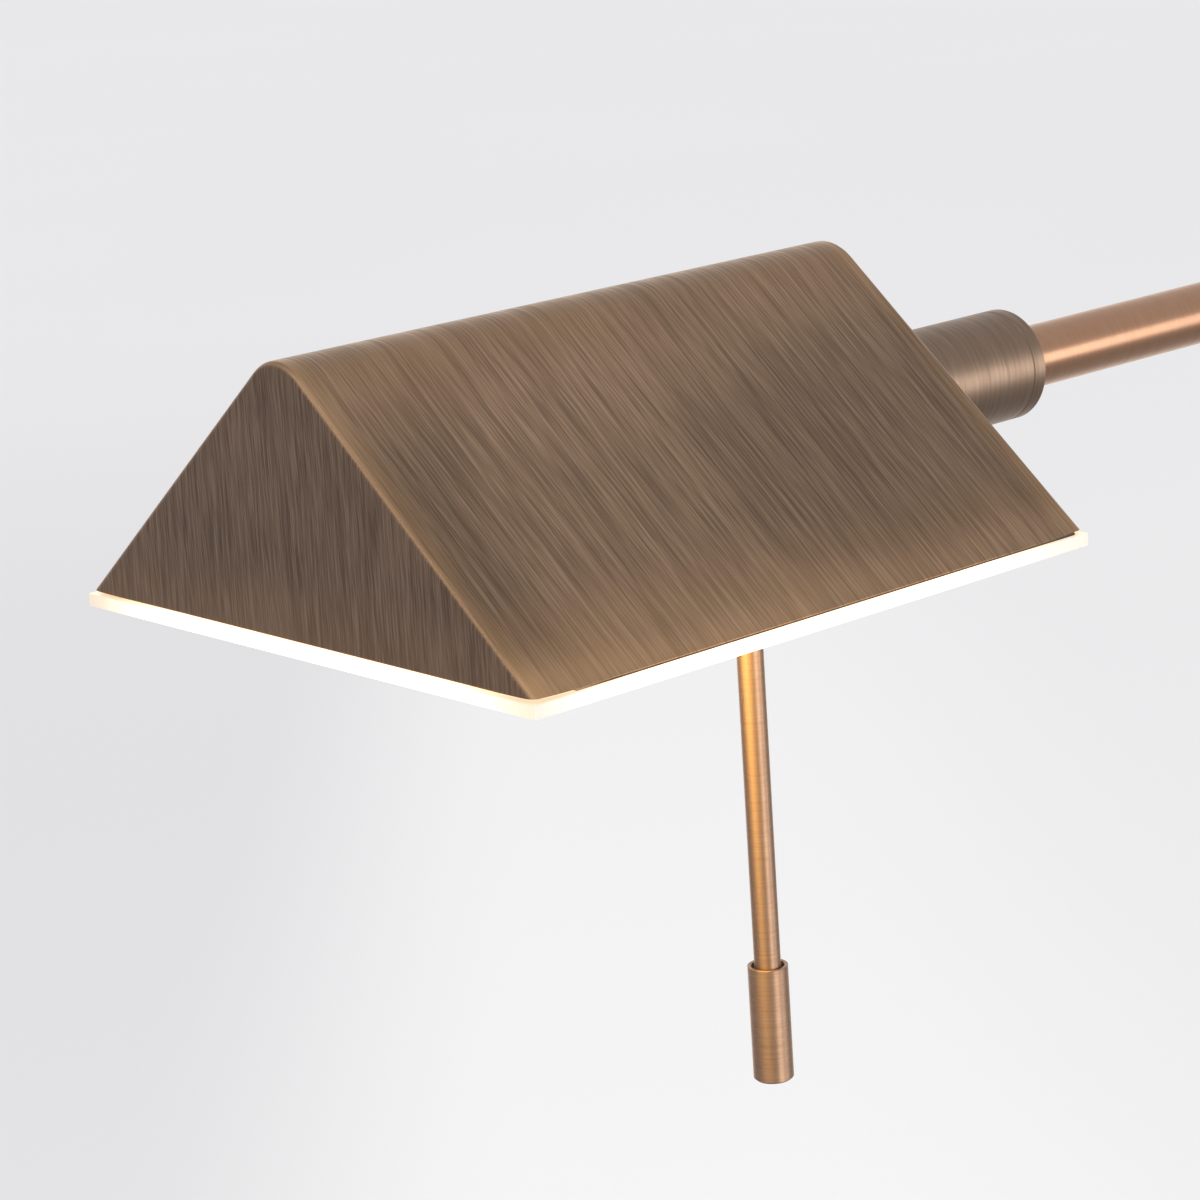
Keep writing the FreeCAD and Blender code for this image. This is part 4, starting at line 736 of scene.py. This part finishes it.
# Brightness of the surroundings from straight down, at 0, to straight up, at 1, and their blue tinge.
SKY_STOPS = ((0.0, 0.66), (0.30, 0.52), (0.47, 0.74), (0.62, 0.95), (1.0, 0.95))
SKY_BLUE = 1.01
# Direction, where the patch starts and where it is full, and its colour.
SKY_PATCHES = (
    (WINDOW_DIRECTION, 0.30, 0.90, colour(0.61, 0.62, 0.69)),
    (BACKDROP_DIRECTION, 0.62, 0.96, colour(1.60, 1.53, 1.42)),
)


def make_world():
    """Soft light from all round: bright above, darker from below, with two patches of other colours."""
    world = bpy.data.worlds.new("studio")
    bpy.context.scene.world = world
    world.use_nodes = True
    tree = world.node_tree
    links = tree.links
    place = tree.nodes.new("ShaderNodeTexCoord")
    split = tree.nodes.new("ShaderNodeSeparateXYZ")
    ramp = tree.nodes.new("ShaderNodeValToRGB")
    lift = tree.nodes.new("ShaderNodeMapRange")
    lift.inputs["From Min"].default_value = -1.0
    lift.inputs["From Max"].default_value = 1.0
    while len(ramp.color_ramp.elements) < len(SKY_STOPS):
        ramp.color_ramp.elements.new(0.5)
    for element, (position, level) in zip(ramp.color_ramp.elements, SKY_STOPS):
        element.position = position
        element.color = colour(level, level, level * SKY_BLUE)
    links.new(place.outputs["Generated"], split.inputs[0])
    links.new(split.outputs["Z"], lift.inputs["Value"])
    links.new(lift.outputs["Result"], ramp.inputs["Fac"])
    shade = ramp.outputs["Color"]
    for direction, low, high, tone in SKY_PATCHES:
        facing = tree.nodes.new("ShaderNodeVectorMath")
        facing.operation = "DOT_PRODUCT"
        facing.inputs[1].default_value = direction.normalized()
        patch = tree.nodes.new("ShaderNodeMapRange")
        patch.interpolation_type = "SMOOTHSTEP"
        patch.inputs["From Min"].default_value = low
        patch.inputs["From Max"].default_value = high
        mixer = tree.nodes.new("ShaderNodeMix")
        mixer.data_type = "RGBA"
        mixer.inputs[MIX_COLOURS[1]].default_value = tone
        links.new(place.outputs["Generated"], facing.inputs[0])
        links.new(facing.outputs["Value"], patch.inputs["Value"])
        links.new(patch.outputs["Result"], mixer.inputs[0])
        links.new(shade, mixer.inputs[MIX_COLOURS[0]])
        shade = mixer.outputs[MIX_COLOUR_RESULT]
    links.new(shade, tree.nodes["Background"].inputs["Color"])
    tree.nodes["Background"].inputs["Strength"].default_value = 1.0


WHITE = (1.0, 1.0, 1.0)
WARM_WHITE = (1.0, 0.96, 0.92)
# Name, direction from the head, distance, width, height, watts and tint.
SOFT_BOXES = (
    ("front_box", (0.12, -0.67, 0.75), 1.4, 0.7, 0.5, 2.5, WHITE),
    ("side_box", (1.0, 0.06, -0.02), 1.5, 0.75, 0.70, 16.0, WARM_WHITE),
    ("rear_box", (0.79, 0.61, -0.02), 1.5, 0.65, 0.60, 7.5, WHITE),
)


def soft_box(name, direction, distance, width, height, watts, tint):
    """A rectangular studio light that faces the head from a direction."""
    data = bpy.data.lights.new(name, "AREA")
    data.shape = "RECTANGLE"
    data.size = width
    data.size_y = height
    data.energy = watts
    data.color = tint
    light = bpy.data.objects.new(name, data)
    bpy.context.scene.collection.objects.link(light)
    towards = Vector(direction).normalized()
    light.location = HEAD_CENTRE + towards * distance
    light.rotation_mode = "QUATERNION"
    light.rotation_quaternion = (-towards).to_track_quat("-Z", "Y")


def make_lights():
    for box in SOFT_BOXES:
        soft_box(*box)


make_camera()
make_floor()
make_world()
make_lights()
dress_nodes()
bpy.context.scene.view_settings.view_transform = "Standard"
